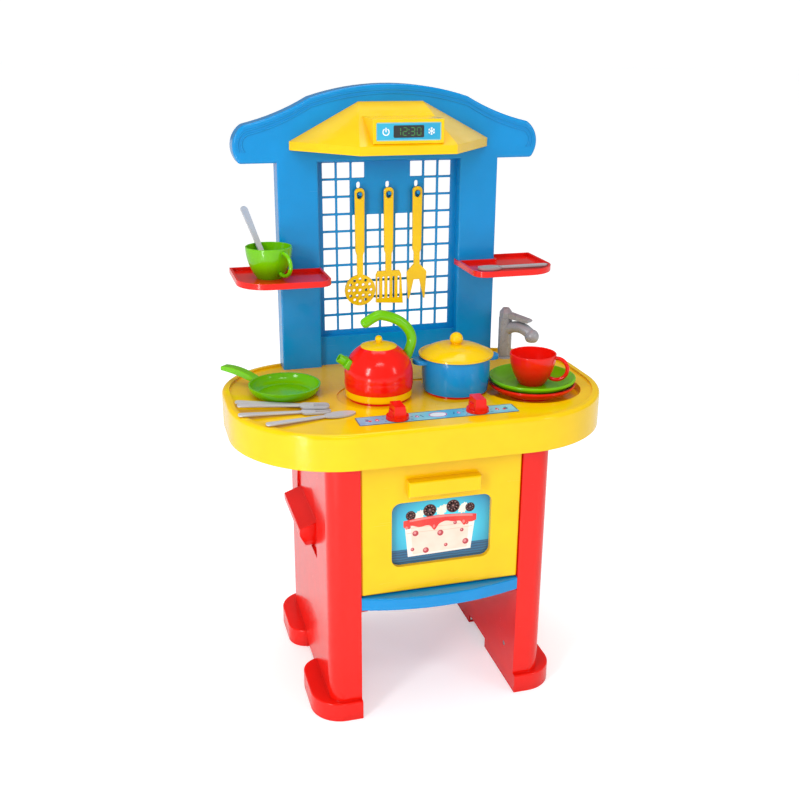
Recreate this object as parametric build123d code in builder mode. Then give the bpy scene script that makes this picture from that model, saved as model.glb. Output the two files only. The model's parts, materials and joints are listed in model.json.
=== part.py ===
"""Toy kitchen: moulded plastic side frames, worktop, grid back wall with hood, oven, taps and crockery.

Millimetres, +Z up, +X to the child's right, -Y towards the child, origin on the floor under the middle.
"""
import os
from math import cos, radians, sin

from build123d import *

os.makedirs("parts", exist_ok=True)

# ---- walls and clearances -------------------------------------------------
wall = 2.5
thin_wall = 2.0
seat_gap = 0.3          # loose joints between moulded pieces
running_gap = 0.06      # radial, shafts in their holes
sticker = 0.4

# ---- worktop --------------------------------------------------------------
worktop_width = 460.0
worktop_front = -145.0
worktop_back = 137.0
deck_top = 372.5
deck_wall = 3.0
rim_height = 2.5
rim_width = 9.0
apron_height = 42.0
front_corner = 130.0
back_corner = 105.0
deck_bottom = deck_top - deck_wall
rim_top = deck_top + rim_height
apron_bottom = rim_top - apron_height

# ---- side frames ----------------------------------------------------------
leg_inner = 97.5
leg_outer = 135.0
leg_front = -126.0
leg_back = 133.5
post_round = 18.0
foot_reach = 155.0
foot_height = 24.0
foot_overhang_front = 6.0
foot_overhang_back = 11.5
foot_length = 107.0
foot_outer_round = 38.0
foot_inner_round = 26.0
arch_clearance = 13.0   # height of the gap under the frame between its feet
scoop_width = 127.0
scoop_middle = 12.0
scoop_bottom = 181.0
scoop_top = 267.0
scoop_round = 38.0
scoop_depth = 2.5
pouch_margin = 8.0      # between the pouch and the recess's sides
pouch_reach = 19.0
pouch_top = 218.0
pouch_lip = 8.0
pouch_foot = 6.0        # how far its lower end stands out
pouch_round = 2.0
liner_inner = leg_inner
boss_radius = 4.0
screw_radius = 1.5
screw_head_radius = 3.0
screw_head = 1.8
screw_length = 14.0
screw_low = 48.0
screw_high = 345.0
screw_edge = 34.0       # from the frame's front or back wall

# ---- oven -----------------------------------------------------------------
tray_bottom = 145.0
tray_top = 161.5
tray_bulge = 14.0
rail = 9.0
rail_height = 4.0
rib_count = 4           # ribs under the deck over each side frame
door_gap = 0.5
door_front = -124.0
door_depth = 12.0
door_bottom = 163.0
door_top = apron_bottom - 1.0
door_edge = 2.5
hinge_radius = 3.0
hinge_height = 6.5      # axis above the door's lower edge
hinge_inset = 6.0       # axis behind the door's face
window_width = 121.4
window_height = 81.8
window_middle = 236.8
window_depth = 6.0
window_round = 11.0
handle_width = 86.6
handle_bottom = 288.0
handle_top = 307.0
handle_reach = 11.5
stop_depth = 2.5
oven_back_wall = 2.5
vent_pitch = 38.0
vent_count = 3

# ---- hob, knobs and sink --------------------------------------------------
hob_spacing = 97.0
hob_y = -18.0
hob_panel_length = 198.0
hob_panel_width = 98.0
hob_panel_depth = 1.2
ring_radius = 36.6
ring_height = 3.2
ring_groove = 1.0
ring_groove_radii = (11.0, 20.1)
strip_length = 190.0
strip_width = 26.5
strip_y = -100.5
knob_spacing = 96.0
knob_radius = 13.5
knob_skirt = 4.0
knob_height = 17.0
knob_bar = 15.0
knob_facets = 8
knob_skirt_taper = 8.0
knob_facet_taper = 9.0
knob_bar_taper = 5.0
knob_shaft = 4.0
clip_radius = 8.0
clip_height = 3.0
sink_x = 142.5
sink_y = -35.0
sink_radius = 60.0
sink_depth = 9.0
drain_radius = 3.0
drain_holes = 6

# ---- back wall ------------------------------------------------------------
panel_half = 142.5
panel_front = 109.0
panel_back = 137.0
pillar_inner = 92.0
grid_front = 124.0
grid_wall = 3.0
ledge_front = 117.0
ledge_top = deck_top + 38.5
roof_bottom = deck_top + 262.3
roof_half = 195.0
roof_end = 188.0
roof_apex = deck_top + 353.9
roof_bend_x = 100.0
roof_bend_z = deck_top + 338.5
roof_swell = -3.5
roof_round = 5.0
roof_blend = 10.0
shoulder_x = 181.0
shoulder_z = deck_top + 307.5
hole_columns = 9
hole_rows = 10
hole_pitch_x = 19.0
hole_pitch_z = 21.8
hole_width = 16.4
hole_height = 19.2
hole_round = 1.0
hole_gap_x = hole_pitch_x - hole_width
grid_bottom = deck_top + 43.0
hook_spacing = 38.0
hook_height = deck_top + 221.5
hook_radius = 2.2
hook_length = 11.0
eyelet_above = 10.0     # small window above each hook
eyelet_width = 5.0
eyelet_height = 8.0
bead_first = 5.5
bead_second = 10.0
bead_width = 1.6
bead_height = 0.8
bead_clear = 14.0
tab_width = 12.0
tab_thick = 3.0
tab_spacing = 26.0
panel_edge = 3.0
tongue_width = 34.0
tongue_depth = 16.0
tongue_length = 10.0

# ---- hood -----------------------------------------------------------------
hood_half_back = 127.0
hood_half_front = 59.0
hood_half_top = 41.0
hood_reach = 84.0
hood_bottom = deck_top + 277.5
hood_rim = 11.0
hood_lip = 1.2
hood_tab_x = 60.0
hood_tab_z = deck_top + 299.5
hood_top = deck_top + 333.5
display_half = 43.0
display_bottom = deck_top + 290.0
display_top = deck_top + 318.0
display_reach = 82.0
screen_width = 78.6
screen_height = 20.7
screen_inset = 1.5

# ---- shelves --------------------------------------------------------------
shelf_inner = 91.0
shelf_outer = 203.0
shelf_front = 32.0
shelf_bottom = deck_top + 124.5
shelf_height = 7.5
shelf_floor = 3.5
shelf_rim = 3.0
shelf_outer_round = 38.0
shelf_inner_round = 16.0
shelf_hook = 13.0

# ---- tap ------------------------------------------------------------------
tap_x = 156.0
tap_y = 93.0
tap_radius = 9.0
tap_height = 55.0
tap_flange = 11.5
tap_foot = 2.0
tap_foot_taper = 30.0
cap_height = 13.0
cap_straight = 7.15
cap_taper = 35.0
pivot_radius = 3.0
pivot_depth = 10.0
tap_shaft = 5.0
tap_angle = -55.0
spout_radius = 7.5
spout_reach = 42.0
spout_height = 36.0
spout_rise = 9.0
nozzle_radius = 9.5
lever_reach = 37.0
lever_width = 10.0
lever_thick = 4.5
lever_sink = -1.5
lever_round = 0.8

# ---- crockery -------------------------------------------------------------
cup_rim_radius = 28.5
cup_base_radius = 15.5
cup_height = 39.0
cup_wall = 1.8
cup_handle_reach = 14.0
cup_handle_radius = 2.4
plate_radius = 53.3
plate_height = 17.0
plate_floor_radius = 35.0
plate_foot_radius = 30.0
red_cup_angle = -28.0
green_cup_angle = -62.0
cup_shelf_x = -159.5
cup_shelf_y = 86.3
plate_foot = 5.0
pan_radius = 43.4
pan_base_radius = 33.0
pan_height = 13.5
pan_x = -157.0
pan_y = 15.5
pan_handle = 52.0
pan_handle_rise = 7.0
pan_handle_width = 11.0
pan_handle_angle = 133.0
pot_radius = 41.5
pot_base_radius = 39.4
pot_height = 43.0
pot_lid_radius = 45.4
pot_lid_dome = 13.0
pot_knob_radius = 8.0
pot_knob_height = 14.0
lug_reach = 13.0
lug_width = 24.0
lug_height = 5.0
lug_drop = 3.0
kettle_base_radius = 40.2
kettle_base_height = 9.0
kettle_radius = 41.0
kettle_height = 60.0
kettle_mouth = 19.0
kettle_belly = 23.0
kettle_bulge = 3.0
kettle_lid_radius = 21.5
kettle_lid_height = 13.0
kettle_lid_edge = 0.8
kettle_lid_dome = 4.5
kettle_knob_radius = 4.2
kettle_handle_radius = 6.0
kettle_grip_points = [(34.5, 43), (40.5, 67), (28, 87), (5.6, 97), (-20.5, 86.5)]
kettle_grip_end = (-1, -0.62)   # way it runs at its free end
spout_rise_angle = 35.0
spout_root_x = 35.5
spout_root_z = 40.0
spout_plate_width = 20.0
spout_plate_height = 12.0
spout_plate_depth = 7.0
kettle_tube_radius = 5.5
kettle_tube_length = 9.0
spoon_length = 95.0
spoon_bowl_length = 32.0
spoon_bowl_width = 19.0
spoon_bowl_depth = 4.0
spoon_wall = 1.3
spoon_neck = 7.5
spoon_end = 10.0
cup_spoon_tip = (-157.7, 84.3, shelf_bottom + 7.6)
cup_spoon_end = (-182.3, 134.3, shelf_bottom + 84.6)
shelf_spoon_x = 103.0
shelf_spoon_y = 62.0
cutlery_length = 106.0
cutlery_width = 9.5
cutlery_thick = 2.0
fork_head = 34.0
fork_width = 17.0
fork_slot = 2.6
knife_lie = ((-220.0, -11.5), (-116.0, -43.5))
upper_fork_lie = ((-220.0, -31.0), (-116.0, -49.0))
lower_fork_lie = ((-222.0, -56.0), (-121.0, -58.5))
spoon_lie = ((-196.0, -94.0), (-109.0, -75.0))
handle_lift = 1.2       # cutlery leans on the rim by its handle's end
upper_lift = 0.6
utensil_thick = 3.0
utensil_length = 151.0
utensil_back = 119.5
utensil_eye_width = 7.0
utensil_eye_height = 9.0
utensil_eye_margin = 4.5
utensil_grip = 80.0
handle_half = 6.4
grip_half = 5.8         # half width where the grip ends
neck_half = 4.0
skimmer_radius = 20.3
skimmer_hole = 1.9
skimmer_rings = ((6, 8.1), (12, 14.6))
turner_half = 17.0
turner_length = 44.0
turner_slot = 3.0
turner_slots = 5
carver_half = 13.5
carver_length = 51.0
prong_tip = 0.8

ring_top = deck_top - hob_panel_depth + ring_height
sink_floor = deck_top - sink_depth
leg_top = sink_floor - wall
socket_bottom = leg_top - rail
oven_back_top = socket_bottom - seat_gap
hinge_y = door_front + hinge_inset
hinge_z = door_bottom + hinge_height
shelf_surface = shelf_bottom + shelf_floor


def save(part, name):
    """Label a finished piece and write it under its own name."""
    part.label = name
    export_step(part, f"parts/{name}.step")


def save_pair(right_part, name):
    """Write a right-hand piece and its mirror image."""
    save(right_part, f"right_{name}")
    save(right_part.mirror(Plane.YZ), f"left_{name}")


def front_plane(y):
    """Sketch plane facing the child, with sketch axes X and Z."""
    return Plane(origin=(0, y, 0), x_dir=(1, 0, 0), z_dir=(0, -1, 0))


def side_plane(x):
    """Sketch plane facing +X, with sketch axes Y and Z."""
    return Plane(origin=(x, 0, 0), x_dir=(0, 1, 0), z_dir=(1, 0, 0))


def radial_plane(x, y, z, angle=0.0):
    """Upright half-plane through a vertical axis: sketch axes are radius and height."""
    out = (cos(radians(angle)), sin(radians(angle)), 0)
    return Plane(origin=(x, y, z), x_dir=out, z_dir=(out[1], -out[0], 0))


# ---- worktop --------------------------------------------------------------
with BuildSketch() as worktop_outline:
    with Locations((0, (worktop_front + worktop_back) / 2)):
        Rectangle(worktop_width, worktop_back - worktop_front)
    fillet(worktop_outline.vertices().group_by(Axis.Y)[0], front_corner)
    fillet(worktop_outline.vertices().sort_by(Axis.Y)[-2:], back_corner)

knob_spots = [(-knob_spacing / 2, strip_y), (knob_spacing / 2, strip_y)]
hob_spots = [(-hob_spacing / 2, hob_y), (hob_spacing / 2, hob_y)]
leg_middle_x = (leg_inner + leg_outer) / 2
leg_middle_y = (leg_front + leg_back) / 2
tongue_spots = [(-(panel_half + pillar_inner) / 2, (panel_front + panel_back) / 2),
                ((panel_half + pillar_inner) / 2, (panel_front + panel_back) / 2)]

with BuildPart() as worktop:
    with BuildSketch(Plane.XY.offset(apron_bottom)):
        add(worktop_outline.sketch)
    extrude(amount=apron_height)
    fillet(worktop.faces().sort_by(Axis.Z)[-1].edges(), rim_width / 2)
    with BuildSketch(Plane.XY.offset(rim_top)):
        offset(worktop_outline.sketch, -rim_width)
    extrude(amount=-rim_height, mode=Mode.SUBTRACT)
    with BuildSketch(Plane.XY.offset(apron_bottom)):
        offset(worktop_outline.sketch, -wall)
    extrude(amount=deck_bottom - apron_bottom, mode=Mode.SUBTRACT)
    # flat seat for the back wall
    with BuildSketch(Plane.XY.offset(deck_top)):
        with Locations((0, (panel_front - seat_gap + worktop_back + wall) / 2)):
            Rectangle(2 * (panel_half + seat_gap), worktop_back + wall - panel_front + seat_gap)
    extrude(amount=rim_height, mode=Mode.SUBTRACT)
    # shallow panel for the two hob rings
    with BuildSketch(Plane.XY.offset(deck_top)):
        with Locations((0, hob_y)):
            SlotOverall(hob_panel_length, hob_panel_width)
    extrude(amount=-hob_panel_depth, mode=Mode.SUBTRACT)
    # holes for the knobs, the tap and the hob rings' pegs
    with BuildSketch(Plane.XY.offset(deck_top)):
        with Locations(*knob_spots):
            Circle(knob_shaft + running_gap)
        with Locations((tap_x, tap_y)):
            Circle(tap_shaft + running_gap)
        with Locations(*hob_spots):
            Circle(knob_shaft + seat_gap)
        with Locations(*tongue_spots):
            Rectangle(tongue_width + 2 * seat_gap, tongue_depth + 2 * seat_gap)
    extrude(amount=-deck_wall, mode=Mode.SUBTRACT)
    # socket walls round the side frames' tops, and ribs that rest on them
    with BuildSketch(Plane.XY.offset(socket_bottom)):
        for side in (-1, 1):
            with Locations((side * (leg_middle_x + seat_gap), leg_middle_y)):
                Rectangle(leg_outer - leg_inner + 2 * thin_wall,
                          leg_back - leg_front + 2 * (seat_gap + thin_wall))
            with Locations((side * (leg_middle_x + seat_gap / 2 - thin_wall), leg_middle_y)):
                Rectangle(leg_outer - leg_inner + seat_gap + 2 * thin_wall,
                          leg_back - leg_front + 2 * seat_gap, mode=Mode.SUBTRACT)
    extrude(amount=deck_bottom - socket_bottom)
    with BuildSketch(Plane.XY.offset(leg_top)):
        for side in (-1, 1):
            with Locations((side * leg_middle_x, leg_middle_y)):
                with GridLocations(0, (leg_back - leg_front) / rib_count, 1, rib_count):
                    Rectangle(leg_outer - leg_inner, thin_wall)
    extrude(amount=deck_bottom - leg_top)
    # sink bowl
    with BuildSketch(Plane.XY.offset(sink_floor - wall)):
        with Locations((sink_x, sink_y)):
            Circle(sink_radius + wall)
    extrude(amount=sink_depth + wall - deck_wall)
    with BuildSketch(Plane.XY.offset(sink_floor)):
        with Locations((sink_x, sink_y)):
            Circle(sink_radius)
    extrude(amount=sink_depth, mode=Mode.SUBTRACT)
    with BuildSketch(Plane.XY.offset(sink_floor)):
        with Locations((sink_x, sink_y)):
            Circle(drain_radius)
            with PolarLocations(3 * drain_radius, drain_holes):
                Circle(drain_radius / 2)
    extrude(amount=-wall, mode=Mode.SUBTRACT)

save(worktop.part, "worktop")

# ---- side frames, built on the child's right ------------------------------
feet_spans = [(leg_front - foot_overhang_front, leg_front - foot_overhang_front + foot_length),
              (leg_back + foot_overhang_back - foot_length, leg_back + foot_overhang_back)]
screw_spots = [(leg_front + screw_edge, screw_low), (leg_back - screw_edge, screw_low),
               (leg_front + screw_edge, screw_high), (leg_back - screw_edge, screw_high)]


def foot_outline(low, high, inset=0.0):
    """One foot seen from above, with its two outer corners rounded."""
    long_first = low < leg_front
    first_round = foot_outer_round if long_first else foot_inner_round
    last_round = foot_inner_round if long_first else foot_outer_round
    with BuildSketch(mode=Mode.PRIVATE) as foot:
        with Locations(((leg_inner + foot_reach) / 2, (low + high) / 2)):
            Rectangle(foot_reach - leg_inner - 2 * inset, high - low - 2 * inset)
        fillet(foot.vertices().group_by(Axis.Y)[0].sort_by(Axis.X)[-1], first_round - inset)
        fillet(foot.vertices().group_by(Axis.Y)[-1].sort_by(Axis.X)[-1], last_round - inset)
    return foot.sketch


def post_outline(inset=0.0):
    """The side frame seen from above, with its two outer corners rounded."""
    with BuildSketch(mode=Mode.PRIVATE) as post:
        with Locations((leg_middle_x, leg_middle_y)):
            Rectangle(leg_outer - leg_inner - 2 * inset, leg_back - leg_front - 2 * inset)
        fillet(post.vertices().group_by(Axis.X)[-1], post_round - inset)
    return post.sketch


def scoop_arch(grow=0.0):
    """Arched outline of the recess in the frame's outer side."""
    with BuildSketch(mode=Mode.PRIVATE) as arch:
        with Locations((scoop_middle, (scoop_bottom + scoop_top) / 2)):
            Rectangle(scoop_width + 2 * grow, scoop_top - scoop_bottom + 2 * grow)
        fillet(arch.vertices().group_by(Axis.Y)[-1], scoop_round + grow)
    return arch.sketch


# pouch that stands out at the foot of the recess and narrows downwards
with BuildPart() as pouch:
    with BuildSketch(side_plane(leg_outer - 2 * wall)) as pouch_face:
        with Locations((scoop_middle, (scoop_bottom + pouch_top + pouch_lip) / 2)):
            Rectangle(scoop_width - 2 * pouch_margin, pouch_top + pouch_lip - scoop_bottom)
        fillet(pouch_face.vertices().group_by(Axis.Y)[0], scoop_round)
    extrude(amount=2 * wall + pouch_reach)
    with BuildSketch(Plane.XZ.offset(-scoop_middle)) as pouch_profile:
        with BuildLine():
            Polyline((leg_outer - 2 * wall, scoop_bottom), (leg_outer + pouch_foot, scoop_bottom),
                     (leg_outer + pouch_reach, pouch_top - pouch_lip),
                     (leg_outer + pouch_reach, pouch_top),
                     (leg_outer - scoop_depth, pouch_top + pouch_lip),
                     (leg_outer - 2 * wall, pouch_top + pouch_lip), close=True)
        make_face()
        fillet(pouch_profile.vertices().filter_by_position(Axis.X, leg_outer, leg_outer + pouch_reach),
               pouch_round)
    extrude(amount=scoop_width, both=True, mode=Mode.INTERSECT)

with BuildPart() as leg:
    with BuildSketch():
        add(post_outline())
    extrude(amount=leg_top)
    for low, high in feet_spans:
        with BuildSketch():
            add(foot_outline(low, high))
        extrude(amount=foot_height)
    fillet(leg.edges().filter_by(GeomType.CIRCLE).filter_by(
        lambda e: abs(e.center().Z - foot_height) < 0.1 and e.center().X > leg_outer), thin_wall)
    # hollow of the post, closed by the liner on the inner side
    with BuildSketch(Plane.XY.offset(wall)):
        add(post_outline(wall))
        with Locations((leg_inner, leg_middle_y)):
            Rectangle(2 * wall, leg_back - leg_front - 2 * wall)
    extrude(amount=leg_top - 2 * wall, mode=Mode.SUBTRACT)
    # recess in the outer side, with its own wall behind it
    with BuildSketch(side_plane(leg_outer - scoop_depth)):
        add(scoop_arch(wall))
    extrude(amount=-wall)
    with BuildSketch(side_plane(leg_outer - scoop_depth)):
        add(scoop_arch())
    extrude(amount=2 * scoop_depth, mode=Mode.SUBTRACT)
    add(pouch.part)
    # hollow of each foot, open underneath
    for low, high in feet_spans:
        with BuildSketch():
            add(foot_outline(low, high, wall))
        extrude(amount=foot_height - wall, mode=Mode.SUBTRACT)
    # gap to the floor between the feet
    with BuildSketch(side_plane(leg_inner - wall)):
        with Locations(((feet_spans[0][1] + feet_spans[1][0]) / 2, arch_clearance / 2)):
            Rectangle(feet_spans[1][0] - feet_spans[0][1], arch_clearance)
    extrude(amount=foot_reach, mode=Mode.SUBTRACT)
    # bosses for the liner's screws
    with BuildSketch(side_plane(liner_inner + wall)):
        with Locations(*screw_spots):
            Circle(boss_radius)
    extrude(amount=leg_outer - liner_inner - 2 * wall)
    with BuildSketch(side_plane(liner_inner + wall)):
        with Locations(*screw_spots):
            Circle(screw_radius + running_gap)
    extrude(amount=screw_length, mode=Mode.SUBTRACT)
    # web above the gap between the feet
    with BuildSketch(Plane.XY.offset(arch_clearance)):
        with Locations((leg_middle_x, (feet_spans[0][1] + feet_spans[1][0]) / 2)):
            Rectangle(leg_outer - leg_inner - 2 * wall, feet_spans[1][0] - feet_spans[0][1])
    extrude(amount=wall)

save_pair(leg.part, "leg")

with BuildPart() as liner:
    with BuildSketch(side_plane(liner_inner)):
        with Locations((leg_middle_y, leg_top / 2)):
            Rectangle(leg_back - leg_front - 2 * wall, leg_top - 2 * wall)
        with Locations(((feet_spans[0][1] + feet_spans[1][0]) / 2, arch_clearance / 2)):
            Rectangle(feet_spans[1][0] - feet_spans[0][1], arch_clearance, mode=Mode.SUBTRACT)
        with Locations(*screw_spots):
            Circle(screw_radius + seat_gap, mode=Mode.SUBTRACT)
        with Locations((hinge_y, hinge_z)):
            Circle(hinge_radius + running_gap, mode=Mode.SUBTRACT)
    extrude(amount=wall)
    # countersinks for the screw heads
    with BuildSketch(side_plane(liner_inner)):
        with Locations(*screw_spots):
            Circle(screw_head_radius + seat_gap)
    extrude(amount=screw_head, mode=Mode.SUBTRACT)
    # runner under the bottom tray
    with BuildSketch(side_plane(liner_inner)):
        with Locations((leg_middle_y, tray_bottom - rail_height / 2)):
            Rectangle(leg_back - leg_front - 4 * wall, rail_height)
    extrude(amount=-rail)
    # stop behind the door and grooves for the oven's back
    with BuildSketch(side_plane(liner_inner)):
        with Locations((door_front + door_depth + seat_gap + stop_depth / 2,
                        (tray_top + apron_bottom) / 2 + rail)):
            Rectangle(stop_depth, apron_bottom - tray_top - 2 * rail)
        for step in (1, -1):
            back_y = leg_back - 2 * wall - oven_back_wall / 2
            with Locations((back_y + step * (oven_back_wall + seat_gap),
                            (tray_top + oven_back_top) / 2)):
                Rectangle(oven_back_wall, oven_back_top - tray_top - rail)
    extrude(amount=-rail / 2)

save_pair(liner.part, "leg_liner")

# self-tapping screws that hold both liners
with BuildPart() as liner_screws:
    for side in (-1, 1):
        for y, z in screw_spots:
            with BuildSketch(Plane(origin=(side * liner_inner, y, z), z_dir=(side, 0, 0))):
                Circle(screw_head_radius)
            extrude(amount=screw_head)
            with BuildSketch(Plane(origin=(side * liner_inner, y, z), z_dir=(side, 0, 0))):
                Circle(screw_radius)
            extrude(amount=screw_length)

save(liner_screws.part, "liner_screws")

# ---- oven -----------------------------------------------------------------
tray_half = liner_inner - seat_gap
tray_back = leg_back - 2 * wall - oven_back_wall - seat_gap

with BuildPart() as bottom_tray:
    with BuildSketch(Plane.XY.offset(tray_bottom)):
        with BuildLine():
            ThreePointArc((-tray_half, leg_front), (0, leg_front - tray_bulge), (tray_half, leg_front))
            Polyline((tray_half, leg_front), (tray_half, tray_back), (-tray_half, tray_back),
                     (-tray_half, leg_front))
        make_face()
    extrude(amount=tray_top - tray_bottom)
    tray_front = bottom_tray.faces().sort_by(Axis.Y)[0]
    fillet(tray_front.edges().filter_by(GeomType.CIRCLE), thin_wall)
    with BuildSketch(Plane.XY.offset(tray_bottom)):
        with BuildLine():
            inner = tray_half - wall
            ThreePointArc((-inner, leg_front + wall), (0, leg_front + wall - tray_bulge),
                          (inner, leg_front + wall))
            Polyline((inner, leg_front + wall), (inner, tray_back - wall), (-inner, tray_back - wall),
                     (-inner, leg_front + wall))
        make_face()
    extrude(amount=tray_top - tray_bottom - wall, mode=Mode.SUBTRACT)

save(bottom_tray.part, "bottom_tray")

with BuildPart() as oven_back:
    with BuildSketch(front_plane(leg_back - 2 * wall)):
        with Locations((0, (tray_top + oven_back_top) / 2)):
            Rectangle(2 * tray_half, oven_back_top - tray_top)
    extrude(amount=oven_back_wall)
    # air slots
    with BuildSketch(front_plane(leg_back - 2 * wall)):
        with Locations((0, (tray_top + oven_back_top) / 2)):
            with GridLocations(0, vent_pitch, 1, vent_count):
                SlotOverall(tray_half, 2 * wall)
    extrude(amount=oven_back_wall, mode=Mode.SUBTRACT)

save(oven_back.part, "oven_back")

door_half = liner_inner - door_gap
door_middle_z = (door_bottom + door_top) / 2

with BuildPart() as oven_door:
    with BuildSketch(front_plane(door_front + door_depth)):
        with Locations((0, door_middle_z)):
            RectangleRounded(2 * door_half, door_top - door_bottom, thin_wall)
    extrude(amount=door_depth)
    fillet(oven_door.faces().sort_by(Axis.Y)[0].edges(), door_edge)
    low_back = oven_door.faces().sort_by(Axis.Y)[-1].edges().sort_by(Axis.Z)[0]
    fillet(low_back, thin_wall)
    with BuildSketch(front_plane(door_front + door_depth)):
        with Locations((0, door_middle_z)):
            Rectangle(2 * (door_half - wall), door_top - door_bottom - 2 * wall)
    extrude(amount=door_depth - wall, mode=Mode.SUBTRACT)
    # window tub
    with BuildSketch(front_plane(door_front + wall / 2)):
        with Locations((0, window_middle)):
            RectangleRounded(window_width + 2 * wall, window_height + 2 * wall, window_round + wall)
    extrude(amount=-(window_depth + wall / 2))
    with BuildSketch(front_plane(door_front)):
        with Locations((0, window_middle)):
            RectangleRounded(window_width, window_height, window_round)
    extrude(amount=-window_depth, mode=Mode.SUBTRACT)
    # pull, hollow underneath for the fingers
    with BuildSketch(front_plane(door_front + wall / 2)):
        with Locations((0, (handle_bottom + handle_top) / 2)):
            Rectangle(handle_width, handle_top - handle_bottom)
    extrude(amount=handle_reach + wall / 2)
    fillet(oven_door.faces().sort_by(Axis.Y)[0].edges(), thin_wall)
    with BuildSketch(front_plane(door_front)):
        with Locations((0, (handle_bottom + handle_top - wall) / 2)):
            Rectangle(handle_width - 2 * wall, handle_top - handle_bottom - wall)
    extrude(amount=handle_reach - wall, mode=Mode.SUBTRACT)
    # hinge bosses and pins
    for side in (-1, 1):
        with BuildSketch(side_plane(side * (door_half - wall))):
            with Locations((hinge_y, hinge_z)):
                Circle(hinge_radius + wall / 2)
        extrude(amount=-side * 2 * wall)
        with BuildSketch(side_plane(side * (door_half - wall))):
            with Locations((hinge_y, hinge_z)):
                Circle(hinge_radius)
        extrude(amount=side * (2 * wall + door_gap))

save(oven_door.part, "oven_door")

with BuildPart() as door_picture:
    with BuildSketch(front_plane(door_front + window_depth)):
        with Locations((0, window_middle)):
            RectangleRounded(window_width, window_height, window_round)
    extrude(amount=sticker)

save(door_picture.part, "door_picture")

# ---- hob rings and control panel ------------------------------------------
for name, spot in zip(("left_hob_ring", "right_hob_ring"), hob_spots):
    with BuildPart() as hob_ring:
        with BuildSketch(Plane.XY.offset(deck_top - hob_panel_depth)):
            with Locations(spot):
                Circle(ring_radius)
        extrude(amount=ring_height)
        with BuildSketch(Plane.XY.offset(ring_top)):
            with Locations(spot):
                for groove_radius in ring_groove_radii:
                    Circle(groove_radius + wall)
                    Circle(groove_radius, mode=Mode.SUBTRACT)
        extrude(amount=-ring_groove, mode=Mode.SUBTRACT)
        with BuildSketch(Plane.XY.offset(deck_top - hob_panel_depth)):
            with Locations(spot):
                Circle(knob_shaft)
        extrude(amount=-(deck_wall - hob_panel_depth))
    save(hob_ring.part, name)

with BuildPart() as control_strip:
    with BuildSketch(Plane.XY.offset(deck_top)):
        with Locations((0, strip_y)):
            RectangleRounded(strip_length, strip_width, thin_wall)
        with Locations(*knob_spots):
            Circle(knob_shaft + wall, mode=Mode.SUBTRACT)
    extrude(amount=sticker)

save(control_strip.part, "control_strip")

knob_base = deck_top + sticker + seat_gap
for name, (x, y) in zip(("left_knob", "right_knob"), knob_spots):
    with BuildPart() as knob:
        with BuildSketch(Plane.XY.offset(knob_base)):
            with Locations((x, y)):
                Circle(knob_radius)
        extrude(amount=knob_skirt, taper=knob_skirt_taper)
        with BuildSketch(Plane.XY.offset(knob_base + knob_skirt)):
            with Locations((x, y)):
                RegularPolygon(knob_radius - wall, knob_facets)
        extrude(amount=(knob_height - knob_skirt) / 2, taper=knob_facet_taper)
        with BuildSketch(Plane.XY.offset(knob_base + knob_skirt / 2)):
            with Locations((x, y)):
                Rectangle(knob_bar, 2 * knob_radius - wall)
        extrude(amount=knob_height - knob_skirt / 2, taper=knob_bar_taper)
        with BuildSketch(Plane.XY.offset(knob_base)):
            with Locations((x, y)):
                Circle(knob_shaft)
        extrude(amount=-(knob_base - deck_bottom + clip_height + 2 * seat_gap))
    save(knob.part, name)
    with BuildPart() as knob_clip:
        with BuildSketch(Plane.XY.offset(deck_bottom - seat_gap)):
            with Locations((x, y)):
                Circle(clip_radius)
                Circle(knob_shaft, mode=Mode.SUBTRACT)
        extrude(amount=-clip_height)
    save(knob_clip.part, name + "_clip")

# ---- back wall with its roof ----------------------------------------------
hole_middle_z = grid_bottom + hole_rows * hole_pitch_z / 2
pillar_width = panel_half - pillar_inner
pillar_x = (panel_half + pillar_inner) / 2
tab_x = [pillar_x - tab_spacing / 2, pillar_x + tab_spacing / 2]
tab_z = shelf_bottom + shelf_height / 2


def roof_outline(inset=0.0):
    """Arched roof seen from the front, drawn in from its edge by an inset."""
    half_inset = inset / 2
    bottom = roof_bottom + inset
    with BuildSketch(mode=Mode.PRIVATE) as roof:
        with BuildLine():
            ThreePointArc((-roof_bend_x, roof_bend_z - inset), (0, roof_apex - inset),
                          (roof_bend_x, roof_bend_z - inset))
            for side in (-1, 1):
                bend = (side * roof_bend_x, roof_bend_z - inset)
                shoulder = (side * (shoulder_x - half_inset), shoulder_z - inset)
                end = (side * (roof_end - inset), bottom)
                ThreePointArc(bend, (side * (roof_bend_x + shoulder_x - half_inset) / 2,
                                     (roof_bend_z + shoulder_z) / 2 + roof_swell - inset), shoulder)
                ThreePointArc(shoulder, (side * (roof_half - inset), (shoulder_z + roof_bottom) / 2), end)
            Line((-roof_end + inset, bottom), (roof_end - inset, bottom))
        make_face()
        fillet(roof.vertices().group_by(Axis.Y)[0], roof_round)
        fillet(roof.vertices().filter_by_position(Axis.Y, shoulder_z - inset - 1, roof_apex), roof_blend)
    return roof.sketch


def pillar_outline(side, inset=0.0):
    """One pillar seen from the front; it runs up into the roof."""
    with BuildSketch(mode=Mode.PRIVATE) as pillar:
        with Locations((side * pillar_x, (deck_top + roof_bottom + 2 * wall) / 2)):
            Rectangle(pillar_width - 2 * inset, roof_bottom + 2 * wall - deck_top - 2 * inset)
    return pillar.sketch


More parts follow.
